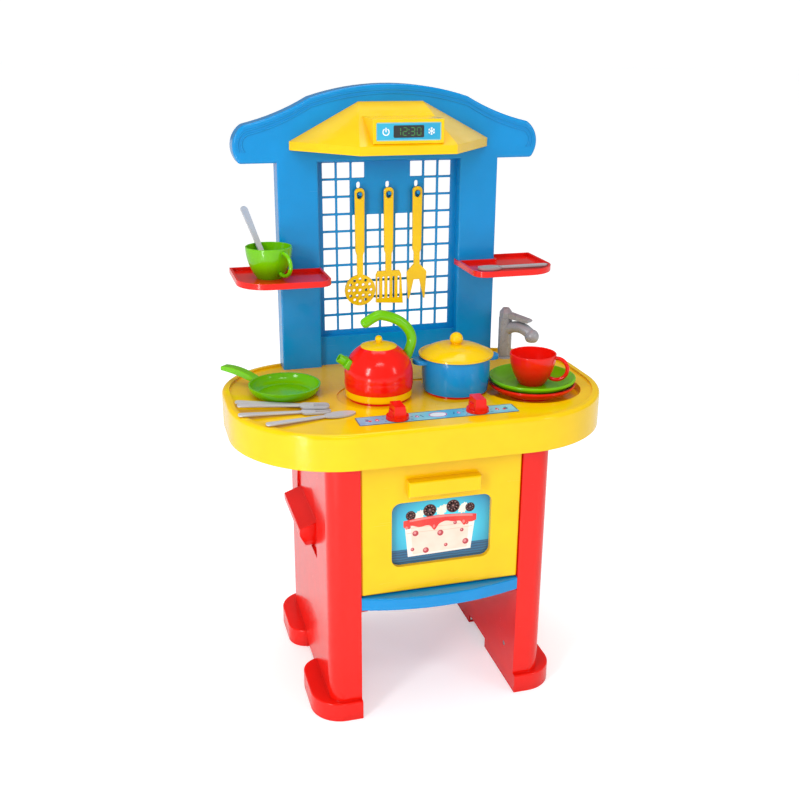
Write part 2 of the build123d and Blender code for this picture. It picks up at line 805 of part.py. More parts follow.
with BuildPart() as back_panel:
    with BuildSketch(front_plane(panel_back)):
        add(roof_outline())
    extrude(amount=panel_back - panel_front)
    fillet(back_panel.faces().sort_by(Axis.Y)[0].edges(), panel_edge)
    with BuildSketch(front_plane(panel_back)):
        for side in (-1, 1):
            add(pillar_outline(side))
    extrude(amount=panel_back - panel_front)
    post_edges = back_panel.edges().filter_by(Axis.Z).group_by(Axis.Y)[0]
    fillet(post_edges, thin_wall)
    # ledge under the grid, and the grid plate
    with BuildSketch(front_plane(panel_back)):
        with Locations((0, (deck_top + ledge_top) / 2)):
            Rectangle(2 * pillar_inner + wall, ledge_top - deck_top)
    extrude(amount=panel_back - ledge_front)
    with BuildSketch(front_plane(grid_front + grid_wall)):
        with Locations((0, (ledge_top + roof_bottom) / 2)):
            Rectangle(2 * pillar_inner + wall, roof_bottom - ledge_top + wall)
    extrude(amount=grid_wall)
    # hollows behind, open at the back
    with BuildSketch(front_plane(panel_back)):
        add(roof_outline(wall))
    extrude(amount=panel_back - panel_front - wall, mode=Mode.SUBTRACT)
    with BuildSketch(front_plane(panel_back)):
        for side in (-1, 1):
            add(pillar_outline(side, wall))
    extrude(amount=panel_back - panel_front - wall, mode=Mode.SUBTRACT)
    with BuildSketch(front_plane(panel_back)):
        with Locations((0, (deck_top + ledge_top) / 2)):
            Rectangle(2 * pillar_inner - wall, ledge_top - deck_top - 2 * wall)
    extrude(amount=panel_back - ledge_front - wall, mode=Mode.SUBTRACT)
    # the grid's holes, left solid behind the three hooks
    with BuildSketch(front_plane(grid_front + grid_wall)):
        with Locations((0, hole_middle_z)):
            with GridLocations(hole_pitch_x, hole_pitch_z, hole_columns, hole_rows):
                RectangleRounded(hole_width, hole_height, hole_round)
        with Locations((0, hole_middle_z + (hole_rows / 2 - 2) * hole_pitch_z)):
            Rectangle(5 * hole_pitch_x - hole_gap_x, 2 * hole_pitch_z, mode=Mode.SUBTRACT)
        with Locations((0, hole_middle_z + (hole_rows - 1) / 2 * hole_pitch_z)):
            Rectangle(3 * hole_pitch_x - hole_gap_x, hole_pitch_z, mode=Mode.SUBTRACT)
        with Locations(*[(step * hook_spacing, hook_height + eyelet_above) for step in (-1, 0, 1)]):
            SlotOverall(eyelet_height, eyelet_width, rotation=90)
    extrude(amount=grid_wall, mode=Mode.SUBTRACT)
    with BuildSketch(front_plane(grid_front)):
        with Locations(*[(step * hook_spacing, hook_height) for step in (-1, 0, 1)]):
            Circle(hook_radius)
    extrude(amount=hook_length)
    # two raised beads that follow the roof's upper edge
    with BuildSketch(front_plane(panel_front)):
        for inset in (bead_first, bead_second):
            add(roof_outline(inset))
            add(roof_outline(inset + bead_width), mode=Mode.SUBTRACT)
        with Locations((0, roof_bottom)):
            Rectangle(2 * roof_half, 2 * bead_clear, mode=Mode.SUBTRACT)
    extrude(amount=bead_height)
    # slots for the shelves' and the hood's tabs
    with BuildSketch(front_plane(panel_front)):
        for side in (-1, 1):
            with Locations(*[(side * x, tab_z) for x in tab_x]):
                Rectangle(tab_width + 2 * seat_gap, tab_thick + 2 * seat_gap)
            with Locations((side * hood_tab_x, hood_tab_z)):
                Rectangle(tab_width + 2 * seat_gap, tab_thick + 2 * seat_gap)
    extrude(amount=-wall, mode=Mode.SUBTRACT)
    # tongues that drop through the worktop
    with BuildSketch(Plane.XY.offset(deck_top)):
        with Locations(*tongue_spots):
            Rectangle(tongue_width, tongue_depth)
    extrude(amount=-tongue_length)

save(back_panel.part, "back_panel")

# ---- hood -----------------------------------------------------------------
rim_z = hood_bottom + hood_rim


def hood_form(inset):
    """Faceted hood with every wall drawn in by an inset: a trapezoid cut by its sloping faces."""
    front_y = panel_front - hood_reach
    with BuildPart(mode=Mode.PRIVATE) as form:
        with BuildSketch(Plane.XY.offset(hood_bottom)):
            with BuildLine():
                Polyline((-hood_half_back, panel_front), (hood_half_back, panel_front),
                         (hood_half_front, front_y), (-hood_half_front, front_y), close=True)
            make_face()
            if inset:
                offset(amount=-inset, kind=Kind.INTERSECTION, mode=Mode.REPLACE)
        extrude(amount=hood_top - hood_bottom - inset)
        corner = Vector(hood_half_front, front_y + hood_lip, rim_z)
        tip = Vector(hood_half_back - hood_lip, panel_front, rim_z)
        crest = Vector(hood_half_top, panel_front, hood_top)
        front_normal = Vector(0, hood_top - rim_z, -hood_reach + hood_lip).normalized() * -1
        side_normal = (tip - corner).cross(crest - corner).normalized()
        for normal in (front_normal, side_normal, Vector(-side_normal.X, side_normal.Y, side_normal.Z)):
            start = corner if normal.X >= 0 else Vector(-corner.X, corner.Y, corner.Z)
            split(bisect_by=Plane(origin=start - normal * inset, z_dir=normal), keep=Keep.BOTTOM)
    return form.part


hood_face_y = panel_front - display_reach
display_middle_z = (display_bottom + display_top) / 2

with BuildPart() as hood:
    add(hood_form(0))
    # housing of the clock, standing out of the hood's front
    with BuildSketch(front_plane(panel_front - wall)):
        with Locations((0, display_middle_z)):
            Rectangle(2 * display_half, display_top - display_bottom)
    extrude(amount=display_reach - wall)
    fillet(hood.faces().sort_by(Axis.Y)[0:2].sort_by(Axis.Z)[-1].edges(), thin_wall / 2)
    add(hood_form(thin_wall), mode=Mode.SUBTRACT)
    # open underside
    with BuildSketch(Plane.XY.offset(hood_bottom)):
        with BuildLine():
            Polyline((-hood_half_back + 2 * wall, panel_front - wall),
                     (hood_half_back - 2 * wall, panel_front - wall),
                     (hood_half_front - wall, panel_front - hood_reach + wall),
                     (-hood_half_front + wall, panel_front - hood_reach + wall), close=True)
        make_face()
    extrude(amount=thin_wall, mode=Mode.SUBTRACT)
    # hollow of the clock's housing
    with BuildSketch(front_plane(panel_front - hood_reach / 4)):
        with Locations((0, display_middle_z)):
            Rectangle(2 * (display_half - thin_wall), display_top - display_bottom - 2 * thin_wall)
    extrude(amount=display_reach - hood_reach / 4 - screen_inset - thin_wall, mode=Mode.SUBTRACT)
    # pocket for the clock sticker
    with BuildSketch(front_plane(hood_face_y)):
        with Locations((0, display_middle_z)):
            RectangleRounded(screen_width, screen_height, thin_wall)
    extrude(amount=-screen_inset, mode=Mode.SUBTRACT)
    # tabs that go through the back wall
    with BuildSketch(front_plane(panel_front)):
        with Locations((-hood_tab_x, hood_tab_z), (hood_tab_x, hood_tab_z)):
            Rectangle(tab_width, tab_thick)
    extrude(amount=-(wall + tab_thick))

save(hood.part, "hood")

with BuildPart() as display_sticker:
    with BuildSketch(front_plane(hood_face_y + screen_inset)):
        with Locations((0, display_middle_z)):
            RectangleRounded(screen_width, screen_height, thin_wall)
    extrude(amount=sticker)

save(display_sticker.part, "display_sticker")

# ---- shelves, built on the child's right ----------------------------------


def shelf_outline(inset=0.0):
    """Shelf plate seen from above, with the notch that goes round its pillar."""
    with BuildSketch(mode=Mode.PRIVATE) as plate:
        with Locations(((shelf_inner + shelf_outer) / 2, (shelf_front + panel_back) / 2)):
            Rectangle(shelf_outer - shelf_inner, panel_back - shelf_front)
        fillet(plate.vertices().group_by(Axis.Y)[0].sort_by(Axis.X)[-1], shelf_outer_round)
        fillet(plate.vertices().group_by(Axis.Y)[0].sort_by(Axis.X)[0], shelf_inner_round)
        with Locations((pillar_x, (panel_front - seat_gap + panel_back + wall) / 2)):
            Rectangle(pillar_width + 2 * seat_gap, panel_back + wall - panel_front + seat_gap,
                      mode=Mode.SUBTRACT)
        with Locations((shelf_inner, panel_back)):
            Rectangle(pillar_width, 2 * (panel_back - panel_front - shelf_hook),
                      mode=Mode.SUBTRACT)
        if inset:
            offset(amount=-inset, mode=Mode.REPLACE)
    return plate.sketch


with BuildPart() as shelf:
    with BuildSketch(Plane.XY.offset(shelf_bottom)):
        add(shelf_outline())
    extrude(amount=shelf_height)
    fillet(shelf.faces().sort_by(Axis.Z)[0].edges().group_by(Axis.Y)[0], thin_wall / 2)
    with BuildSketch(Plane.XY.offset(shelf_surface)):
        add(shelf_outline(shelf_rim))
    extrude(amount=shelf_height, mode=Mode.SUBTRACT)
    with BuildSketch(front_plane(panel_front - seat_gap)):
        with Locations(*[(x, tab_z) for x in tab_x]):
            Rectangle(tab_width, tab_thick)
    extrude(amount=-(seat_gap + wall + tab_thick))

save_pair(shelf.part, "shelf")

# ---- tap ------------------------------------------------------------------
cap_bottom = deck_top + tap_height + running_gap

with BuildPart() as tap_spout:
    with BuildSketch(Plane.XY.offset(deck_top)):
        with Locations((tap_x, tap_y)):
            Circle(tap_flange)
    extrude(amount=tap_foot, taper=tap_foot_taper)
    with BuildSketch(Plane.XY.offset(deck_top)):
        with Locations((tap_x, tap_y)):
            Circle(tap_radius)
    extrude(amount=tap_height)
    with BuildLine(radial_plane(tap_x, tap_y, deck_top, tap_angle)) as spout_path:
        ThreePointArc((0, spout_height), (spout_reach * 0.55, spout_height + spout_rise),
                      (spout_reach, spout_height))
    with BuildSketch(Plane(origin=spout_path.line @ 0, z_dir=spout_path.line % 0)):
        Circle(spout_radius)
    sweep(path=spout_path.line)
    with Locations(spout_path.line @ 1):
        Sphere(nozzle_radius)
    # mouth of the nozzle, bored from below
    nozzle = spout_path.line @ 1
    with BuildSketch(Plane(origin=(nozzle.X, nozzle.Y, deck_top))):
        Circle(nozzle_radius - wall)
    extrude(amount=spout_height - nozzle_radius + wall, mode=Mode.SUBTRACT)
    with BuildSketch(Plane.XY.offset(deck_top)):
        with Locations((tap_x, tap_y)):
            Circle(tap_shaft)
    extrude(amount=-(deck_wall + clip_height + 2 * seat_gap))
    with BuildSketch(Plane.XY.offset(deck_top + tap_height)):
        with Locations((tap_x, tap_y)):
            Circle(pivot_radius + running_gap)
    extrude(amount=-pivot_depth, mode=Mode.SUBTRACT)

save(tap_spout.part, "tap_spout")

with BuildPart() as tap_clip:
    with BuildSketch(Plane.XY.offset(deck_bottom - seat_gap)):
        with Locations((tap_x, tap_y)):
            Circle(clip_radius + tap_shaft - knob_shaft)
            Circle(tap_shaft, mode=Mode.SUBTRACT)
    extrude(amount=-clip_height)

save(tap_clip.part, "tap_clip")

with BuildPart() as tap_lever:
    with BuildSketch(Plane.XY.offset(cap_bottom)):
        with Locations((tap_x, tap_y)):
            RegularPolygon(tap_radius + running_gap, knob_facets)
    extrude(amount=cap_straight)
    with BuildSketch(Plane.XY.offset(cap_bottom + cap_straight)):
        with Locations((tap_x, tap_y)):
            RegularPolygon(tap_radius + running_gap, knob_facets)
    extrude(amount=cap_height - cap_straight, taper=cap_taper)
    with BuildSketch(radial_plane(tap_x, tap_y, cap_bottom, tap_angle)):
        with BuildLine():
            FilletPolyline((0, 0), (tap_radius, 0), (lever_reach, lever_sink),
                           (lever_reach + wall, lever_sink + wall),
                           (lever_reach, lever_sink + lever_thick), (tap_radius, cap_straight),
                           (0, cap_straight), radius=lever_round, close=True)
        make_face()
    extrude(amount=lever_width / 2, both=True)
    with BuildSketch(Plane.XY.offset(cap_bottom)):
        with Locations((tap_x, tap_y)):
            Circle(pivot_radius)
    extrude(amount=-(pivot_depth - wall))

save(tap_lever.part, "tap_lever")

# ---- crockery -------------------------------------------------------------


def turned(x, y, z, foot, belly, rim):
    """Solid turned about a vertical axis: a flat foot, a curved flank through belly, and a flat rim."""
    with BuildPart(mode=Mode.PRIVATE) as body:
        with BuildSketch(radial_plane(x, y, z)):
            with BuildLine():
                Polyline((foot, 0), (0, 0), (0, rim[1]), rim)
                ThreePointArc(rim, belly, (foot, 0))
            make_face()
        revolve(axis=Axis((x, y, z), (0, 0, 1)))
    return body.part


def vessel(x, y, z, foot, belly, rim, thick, grip):
    """Open vessel of even wall; its grip is joined outside and cleared inside."""
    inner_rim = (rim[0] - thick, rim[1] - thick + seat_gap)
    inner_belly = (belly[0] - thick, belly[1] - thick / 2)
    with BuildPart(mode=Mode.PRIVATE) as body:
        add(turned(x, y, z, foot, belly, rim))
        add(grip)
        add(turned(x, y, z + thick, foot - thick, inner_belly, inner_rim), mode=Mode.SUBTRACT)
        fillet(body.faces().sort_by(Axis.Z)[-1].edges(), thick / 3)
    return body.part


def ring_grip(x, y, z, angle, low, out, high, radius):
    """Round-section finger grip in the half-plane at an angle; low, out and high are (radius, height)."""
    with BuildPart(mode=Mode.PRIVATE) as grip:
        with BuildLine(radial_plane(x, y, z, angle)) as path:
            ThreePointArc(low, out, high)
        with BuildSketch(Plane(origin=path.line @ 0, z_dir=path.line % 0)):
            Circle(radius)
        sweep(path=path.line)
    return grip.part


def cup(x, y, z, angle):
    """Cup with its handle at an angle."""
    grip = ring_grip(x, y, z, angle, (cup_base_radius + 6, cup_height * 0.22),
                     (cup_rim_radius + cup_handle_reach, cup_height * 0.56),
                     (cup_rim_radius - 2 * cup_wall, cup_height * 0.86), cup_handle_radius)
    return vessel(x, y, z, cup_base_radius, (cup_rim_radius - 2 * cup_wall, cup_height * 0.45),
                  (cup_rim_radius, cup_height), cup_wall, grip)


def plate(x, y, z):
    """Plate with a foot ring; the next plate or cup stands on its flat middle."""
    with BuildPart(mode=Mode.PRIVATE) as dish:
        with BuildSketch(radial_plane(x, y, z)):
            with BuildLine():
                Polyline((0, plate_foot), (plate_foot_radius - wall, plate_foot),
                         (plate_foot_radius - wall, 0), (plate_foot_radius, 0),
                         (plate_foot_radius, plate_foot), (plate_floor_radius, plate_foot))
                ThreePointArc((plate_floor_radius, plate_foot),
                              ((plate_floor_radius + plate_radius) / 2 + wall,
                               (plate_foot + plate_height) / 2 - wall),
                              (plate_radius, plate_height - wall))
                Polyline((plate_radius, plate_height - wall), (plate_radius, plate_height),
                         (plate_radius - thin_wall, plate_height))
                ThreePointArc((plate_radius - thin_wall, plate_height),
                              ((plate_floor_radius + plate_radius) / 2, (plate_foot + plate_height) / 2),
                              (plate_floor_radius - wall, plate_foot + thin_wall))
                Polyline((plate_floor_radius - wall, plate_foot + thin_wall),
                         (0, plate_foot + thin_wall), (0, plate_foot))
            make_face()
        revolve(axis=Axis((x, y, z), (0, 0, 1)))
        fillet(dish.faces().sort_by(Axis.Z)[-1].edges(), thin_wall / 3)
    return dish.part


plate_pitch = plate_foot + thin_wall
save(plate(sink_x, sink_y, sink_floor), "red_plate")
save(plate(sink_x, sink_y, sink_floor + plate_pitch), "green_plate")
save(cup(sink_x, sink_y, sink_floor + 2 * plate_pitch, red_cup_angle), "red_cup")
save(cup(cup_shelf_x, cup_shelf_y, shelf_surface, green_cup_angle), "green_cup")

with BuildPart(mode=Mode.PRIVATE) as pan_grip:
    with BuildSketch(radial_plane(pan_x, pan_y, deck_top, pan_handle_angle)):
        with BuildLine():
            handle_end = pan_radius + pan_handle
            Polyline((pan_radius - 2 * wall, pan_height - 3 * wall),
                     (pan_radius - 2 * wall, pan_height), (pan_radius, pan_height))
            ThreePointArc((pan_radius, pan_height),
                          (pan_radius + pan_handle / 2, pan_height + pan_handle_rise),
                          (handle_end, pan_height + pan_handle_rise))
            Line((handle_end, pan_height + pan_handle_rise),
                 (handle_end, pan_height + pan_handle_rise - 2 * wall))
            ThreePointArc((handle_end, pan_height + pan_handle_rise - 2 * wall),
                          (pan_radius + pan_handle / 2, pan_height + pan_handle_rise - 3 * wall),
                          (pan_radius - 2 * wall, pan_height - 3 * wall))
        make_face()
    extrude(amount=pan_handle_width / 2, both=True)
    fillet(pan_grip.edges().filter_by(GeomType.LINE).group_by(SortBy.DISTANCE)[-1], thin_wall)

save(vessel(pan_x, pan_y, deck_top, pan_base_radius, (pan_radius - thin_wall, pan_height / 2),
            (pan_radius, pan_height), thin_wall, pan_grip.part), "frying_pan")

# ---- pot ------------------------------------------------------------------
pot_x, pot_y = hob_spots[1]
pot_rim_z = ring_top + pot_height
pot_skirt = pot_radius - thin_wall - seat_gap

with BuildPart(mode=Mode.PRIVATE) as lugs:
    with BuildSketch(Plane.XY.offset(pot_rim_z - lug_drop - lug_height)):
        with Locations((pot_x, pot_y)):
            RectangleRounded(2 * (pot_radius + lug_reach), lug_width, lug_width / 2.2)
    extrude(amount=lug_height)
    fillet(lugs.faces().sort_by(Axis.Z)[-1].edges(), lug_height / 3)

save(vessel(pot_x, pot_y, ring_top, pot_base_radius, (pot_radius - 0.5, pot_height / 3),
            (pot_radius, pot_height), thin_wall, lugs.part), "pot")

with BuildPart() as pot_lid:
    with BuildSketch(radial_plane(pot_x, pot_y, pot_rim_z)):
        with BuildLine():
            Polyline((0, pot_lid_dome - thin_wall), (0, pot_lid_dome), (pot_knob_radius, pot_lid_dome))
            ThreePointArc((pot_knob_radius, pot_lid_dome), (pot_lid_radius * 0.72, pot_lid_dome * 0.62),
                          (pot_lid_radius - wall, thin_wall))
            Polyline((pot_lid_radius - wall, thin_wall), (pot_lid_radius, thin_wall),
                     (pot_lid_radius, 0), (pot_skirt, 0), (pot_skirt, -wall),
                     (pot_skirt - thin_wall, -wall), (pot_skirt - thin_wall, 0))
            ThreePointArc((pot_skirt - thin_wall, 0),
                          (pot_lid_radius * 0.66, pot_lid_dome * 0.62 - thin_wall),
                          (pot_knob_radius, pot_lid_dome - thin_wall))
            Line((pot_knob_radius, pot_lid_dome - thin_wall), (0, pot_lid_dome - thin_wall))
        make_face()
    revolve(axis=Axis((pot_x, pot_y, pot_rim_z), (0, 0, 1)))
    with BuildSketch(Plane.XY.offset(pot_rim_z + pot_lid_dome - thin_wall / 2)):
        with Locations((pot_x, pot_y)):
            Circle(pot_knob_radius * 0.75)
    extrude(amount=pot_knob_height - pot_knob_radius)
    with Locations((pot_x, pot_y, pot_rim_z + pot_lid_dome + pot_knob_height - pot_knob_radius)):
        Sphere(pot_knob_radius)

save(pot_lid.part, "pot_lid")

# ---- kettle ---------------------------------------------------------------
kettle_x, kettle_y = hob_spots[0]
kettle_axis = Axis((kettle_x, kettle_y, ring_top), (0, 0, 1))
kettle_skirt = kettle_mouth - seat_gap
shoulder_height = (kettle_belly + kettle_height) / 2


def kettle_shell(inset=0.0):
    """Domed kettle, drawn in by an inset, turned about its axis."""
    low = kettle_base_height + inset
    with BuildPart(mode=Mode.PRIVATE) as shell:
        with BuildSketch(radial_plane(kettle_x, kettle_y, ring_top)):
            with BuildLine():
                Polyline((0, kettle_height), (0, low), (kettle_base_radius - inset, low))
                ThreePointArc((kettle_base_radius - inset, low),
                              (kettle_radius - inset, kettle_belly * 0.6),
                              (kettle_radius - inset, kettle_belly))
                ThreePointArc((kettle_radius - inset, kettle_belly),
                              ((kettle_radius * 2 + kettle_mouth) / 3 - inset * 0.7 + kettle_bulge,
                               shoulder_height - inset * 0.7 + kettle_bulge),
                              (kettle_mouth + wall - inset, kettle_height))
                Line((kettle_mouth + wall - inset, kettle_height), (0, kettle_height))
            make_face()
        revolve(axis=kettle_axis)
    return shell.part


def along(x, z):
    """Point in the kettle's own left-to-right plane, measured from its foot."""
    return Vector(kettle_x + x, kettle_y, ring_top + z)


handle_start = along(*kettle_grip_points[0])
handle_dir = along(*kettle_grip_points[1]) - handle_start
spout_dir = Vector(-cos(radians(spout_rise_angle)), 0, sin(radians(spout_rise_angle)))
spout_root = along(-spout_root_x, spout_root_z)
spout_plane = Plane(origin=spout_root, x_dir=(0, 1, 0), z_dir=spout_dir)

with BuildPart() as kettle_base:
    with BuildSketch(Plane.XY.offset(ring_top)):
        with Locations((kettle_x, kettle_y)):
            Circle(kettle_base_radius)
    extrude(amount=kettle_base_height)
    fillet(kettle_base.faces().sort_by(Axis.Z)[0].edges(), thin_wall)
    with BuildSketch(Plane.XY.offset(ring_top)):
        with Locations((kettle_x, kettle_y)):
            Circle(kettle_base_radius - 2 * thin_wall)
    extrude(amount=kettle_base_height - wall, mode=Mode.SUBTRACT)

save(kettle_base.part, "kettle_base")

with BuildPart() as kettle_body:
    add(kettle_shell())
    add(kettle_shell(thin_wall), mode=Mode.SUBTRACT)
    with BuildSketch(Plane(origin=handle_start, z_dir=handle_dir)):
        Circle(kettle_handle_radius + seat_gap)
    extrude(amount=kettle_radius, both=True, mode=Mode.SUBTRACT)
    with BuildSketch(spout_plane):
        RectangleRounded(spout_plate_width + 2 * seat_gap, spout_plate_height + 2 * seat_gap, thin_wall)
    extrude(amount=kettle_radius / 2, mode=Mode.SUBTRACT)

save(kettle_body.part, "kettle_body")

with BuildPart() as kettle_spout:
    with BuildSketch(spout_plane):
        RectangleRounded(spout_plate_width, spout_plate_height, thin_wall)
    extrude(amount=spout_plate_depth)
    fillet(kettle_spout.faces().sort_by(Axis.X)[0].edges(), thin_wall / 2)
    with BuildSketch(spout_plane.offset(spout_plate_depth - thin_wall)):
        Circle(kettle_tube_radius)
    extrude(amount=kettle_tube_length + thin_wall)
    with BuildSketch(spout_plane.offset(spout_plate_depth + kettle_tube_length)):
        Circle(kettle_tube_radius - thin_wall)
    extrude(amount=-(spout_plate_depth + kettle_tube_length), mode=Mode.SUBTRACT)

save(kettle_spout.part, "kettle_spout")

with BuildPart() as kettle_handle:
    with BuildLine() as grip_line:
        Spline(*[along(*point) for point in kettle_grip_points],
               tangents=[handle_dir, along(*kettle_grip_end) - along(0, 0)])
    with BuildSketch(Plane(origin=grip_line.line @ 0, z_dir=grip_line.line % 0)):
        Circle(kettle_handle_radius)
    sweep(path=grip_line.line)
    fillet(kettle_handle.edges().sort_by(Axis.X)[0], kettle_handle_radius * 0.8)

save(kettle_handle.part, "kettle_handle")

with BuildPart() as kettle_lid:
    with BuildSketch(radial_plane(kettle_x, kettle_y, ring_top + kettle_height)):
        with BuildLine():
            Polyline((0, 0), (kettle_skirt - thin_wall, 0), (kettle_skirt - thin_wall, -wall),
                     (kettle_skirt, -wall), (kettle_skirt, 0), (kettle_lid_radius, 0),
                     (kettle_lid_radius, kettle_lid_edge))
            ThreePointArc((kettle_lid_radius, kettle_lid_edge),
                          (kettle_lid_radius * 0.6, kettle_lid_dome * 0.75),
                          (kettle_knob_radius, kettle_lid_dome))
            Polyline((kettle_knob_radius, kettle_lid_dome), (0, kettle_lid_dome), (0, 0))
        make_face()
    revolve(axis=kettle_axis)
    with BuildSketch(Plane.XY.offset(ring_top + kettle_height + kettle_lid_edge)):
        with Locations((kettle_x, kettle_y)):
            Circle(kettle_knob_radius * 0.8)
    extrude(amount=kettle_lid_height - kettle_knob_radius - kettle_lid_edge)
    knob_middle = ring_top + kettle_height + kettle_lid_height - kettle_knob_radius
    with Locations((kettle_x, kettle_y, knob_middle)):
        Sphere(kettle_knob_radius)

save(kettle_lid.part, "kettle_lid")

# ---- spoons and table cutlery ---------------------------------------------


def spoon(plane):
    """Spoon lying in a plane with its bowl's tip at the origin and its handle along the plane's x."""
    with BuildPart(mode=Mode.PRIVATE) as piece:
        with BuildSketch(plane):
            with Locations((spoon_bowl_length / 2, 0)):
                Ellipse(spoon_bowl_length / 2, spoon_bowl_width / 2)
        extrude(amount=spoon_bowl_depth)
        fillet(piece.faces().sort_by(Axis(plane.origin, plane.z_dir))[-1].edges(), spoon_bowl_depth / 2)
        with BuildSketch(plane):
            with BuildLine():
                Polyline((spoon_bowl_length - 2 * wall, spoon_neck / 2),
                         (spoon_length * 0.45, spoon_neck / 2),
                         (spoon_length - spoon_end / 2, spoon_end / 2))
                ThreePointArc((spoon_length - spoon_end / 2, spoon_end / 2), (spoon_length, 0),
                              (spoon_length - spoon_end / 2, -spoon_end / 2))
                Polyline((spoon_length - spoon_end / 2, -spoon_end / 2),
                         (spoon_length * 0.45, -spoon_neck / 2),
                         (spoon_bowl_length - 2 * wall, -spoon_neck / 2),
                         (spoon_bowl_length - 2 * wall, spoon_neck / 2))
            make_face()
        extrude(amount=cutlery_thick)
        with BuildSketch(plane):
            with Locations((spoon_bowl_length / 2, 0)):
                Ellipse(spoon_bowl_length / 2 - spoon_wall, spoon_bowl_width / 2 - spoon_wall)
        extrude(amount=spoon_bowl_depth - spoon_wall, mode=Mode.SUBTRACT)
    return piece.part


def flat_piece(outline, start, end, lift=0.0):
    """Flat cutlery from start towards end: it leans on the rim, with its head on the deck or lifted."""
    foot = Vector(start[0], start[1], rim_top + handle_lift + lift)
    level = Vector(end[0] - start[0], end[1] - start[1], 0).normalized() * cutlery_length
    lie = level + Vector(0, 0, deck_top + seat_gap / 3 + lift - foot.Z)
    with BuildPart(mode=Mode.PRIVATE) as piece:
        upright = Vector(0, 0, 1) - lie * (lie.Z / lie.length ** 2)
        with BuildSketch(Plane(origin=foot, x_dir=lie, z_dir=upright)):
            add(outline)
        extrude(amount=cutlery_thick)
        fillet(piece.faces().sort_by(Axis.Z)[-1].edges(), cutlery_thick / 4)
    return piece.part


def handle_outline(length, end_width, neck_width):
    """Tapered flat handle with rounded ends, along +x from the origin."""
    with BuildSketch(mode=Mode.PRIVATE) as grip:
        with BuildLine():
            Polyline((0, end_width / 2), (length, neck_width / 2), (length, -neck_width / 2),
                     (0, -end_width / 2), close=True)
        make_face()
        fillet(grip.vertices().group_by(Axis.X)[0], end_width / 2.4)
    return grip.sketch


with BuildSketch() as knife_outline:
    add(handle_outline(cutlery_length * 0.55, cutlery_width, cutlery_width * 0.8))
    with BuildLine():
        Polyline((cutlery_length * 0.55, cutlery_width * 0.4),
                 (cutlery_length * 0.94, cutlery_width * 0.4))
        ThreePointArc((cutlery_length * 0.94, cutlery_width * 0.4), (cutlery_length, 0),
                      (cutlery_length * 0.97, -cutlery_width * 0.45))
        Polyline((cutlery_length * 0.97, -cutlery_width * 0.45),
                 (cutlery_length * 0.62, -cutlery_width * 0.6),
                 (cutlery_length * 0.55, -cutlery_width * 0.4),
                 (cutlery_length * 0.55, cutlery_width * 0.4))
    make_face()

with BuildSketch() as fork_outline:
    add(handle_outline(cutlery_length - fork_head + wall, cutlery_width, cutlery_width * 0.55))
    with Locations((cutlery_length - fork_head / 2, 0)):
        RectangleRounded(fork_head, fork_width, fork_width / 2.6)
    with Locations((cutlery_length - fork_head * 0.22, 0)):
        with GridLocations(0, fork_width / 3, 1, 2):
            SlotOverall(fork_head * 0.66, fork_slot, mode=Mode.SUBTRACT)

with BuildSketch() as table_spoon_outline:
    add(handle_outline(cutlery_length - fork_head, cutlery_width, cutlery_width * 0.55))
    with Locations((cutlery_length - fork_head / 2, 0)):
        Ellipse(fork_head / 2 + wall, fork_width / 2)

spoon_lean = (Vector(*cup_spoon_end) - Vector(*cup_spoon_tip)).normalized()
spoon_back = spoon_lean * spoon_lean.Z - Vector(0, 0, 1)
save(spoon(Plane(origin=cup_spoon_tip, x_dir=spoon_lean, z_dir=spoon_back)), "cup_spoon")
save(spoon(Plane(origin=(shelf_spoon_x, shelf_spoon_y, shelf_surface + spoon_bowl_depth),
                 x_dir=(1, 0, 0), z_dir=(0, 0, -1))), "shelf_spoon")
save(flat_piece(knife_outline.sketch, *knife_lie), "table_knife")
save(flat_piece(fork_outline.sketch, *lower_fork_lie), "lower_fork")
save(flat_piece(fork_outline.sketch, *upper_fork_lie, cutlery_thick + upper_lift), "upper_fork")
save(flat_piece(table_spoon_outline.sketch, *spoon_lie), "table_spoon")

# ---- hanging tools --------------------------------------------------------
eyelet_z = hook_height + hook_radius + seat_gap - utensil_eye_height / 2
utensil_top = eyelet_z + utensil_eye_height / 2 + utensil_eye_margin
utensil_bottom = utensil_top - utensil_length


def utensil_handle(x, neck_z):
    """Handle of a hanging tool with its eyelet, down to a narrow neck."""
    grip_z = utensil_top - utensil_grip
    with BuildSketch(mode=Mode.PRIVATE) as grip:
        with BuildLine():
            Polyline((x - handle_half, utensil_top), (x + handle_half, utensil_top),
                     (x + grip_half, grip_z), (x + neck_half, grip_z - 2 * wall),
                     (x + neck_half, neck_z), (x - neck_half, neck_z),
                     (x - neck_half, grip_z - 2 * wall), (x - grip_half, grip_z), close=True)
        make_face()
        fillet(grip.vertices().group_by(Axis.Y)[-1], handle_half * 0.85)
        with Locations((x, eyelet_z)):
            SlotOverall(utensil_eye_height, utensil_eye_width, rotation=90, mode=Mode.SUBTRACT)
    return grip.sketch


def hang(outline, name):
    """Thicken a tool's outline on the plane it hangs in and write it."""
    with BuildPart(mode=Mode.PRIVATE) as piece:
        with BuildSketch(front_plane(utensil_back)):
            add(outline)
        extrude(amount=utensil_thick)
        fillet(piece.faces().sort_by(Axis.Y)[0].edges(), utensil_thick / 6)
    save(piece.part, name)


with BuildSketch() as skimmer_outline:
    skimmer_z = utensil_bottom + skimmer_radius
    add(utensil_handle(-hook_spacing, skimmer_z))
    with Locations((-hook_spacing, skimmer_z)):
        Circle(skimmer_radius)
        with Locations((0, 0)):
            Circle(skimmer_hole, mode=Mode.SUBTRACT)
        for count, radius in skimmer_rings:
            with PolarLocations(radius, count):
                Circle(skimmer_hole, mode=Mode.SUBTRACT)

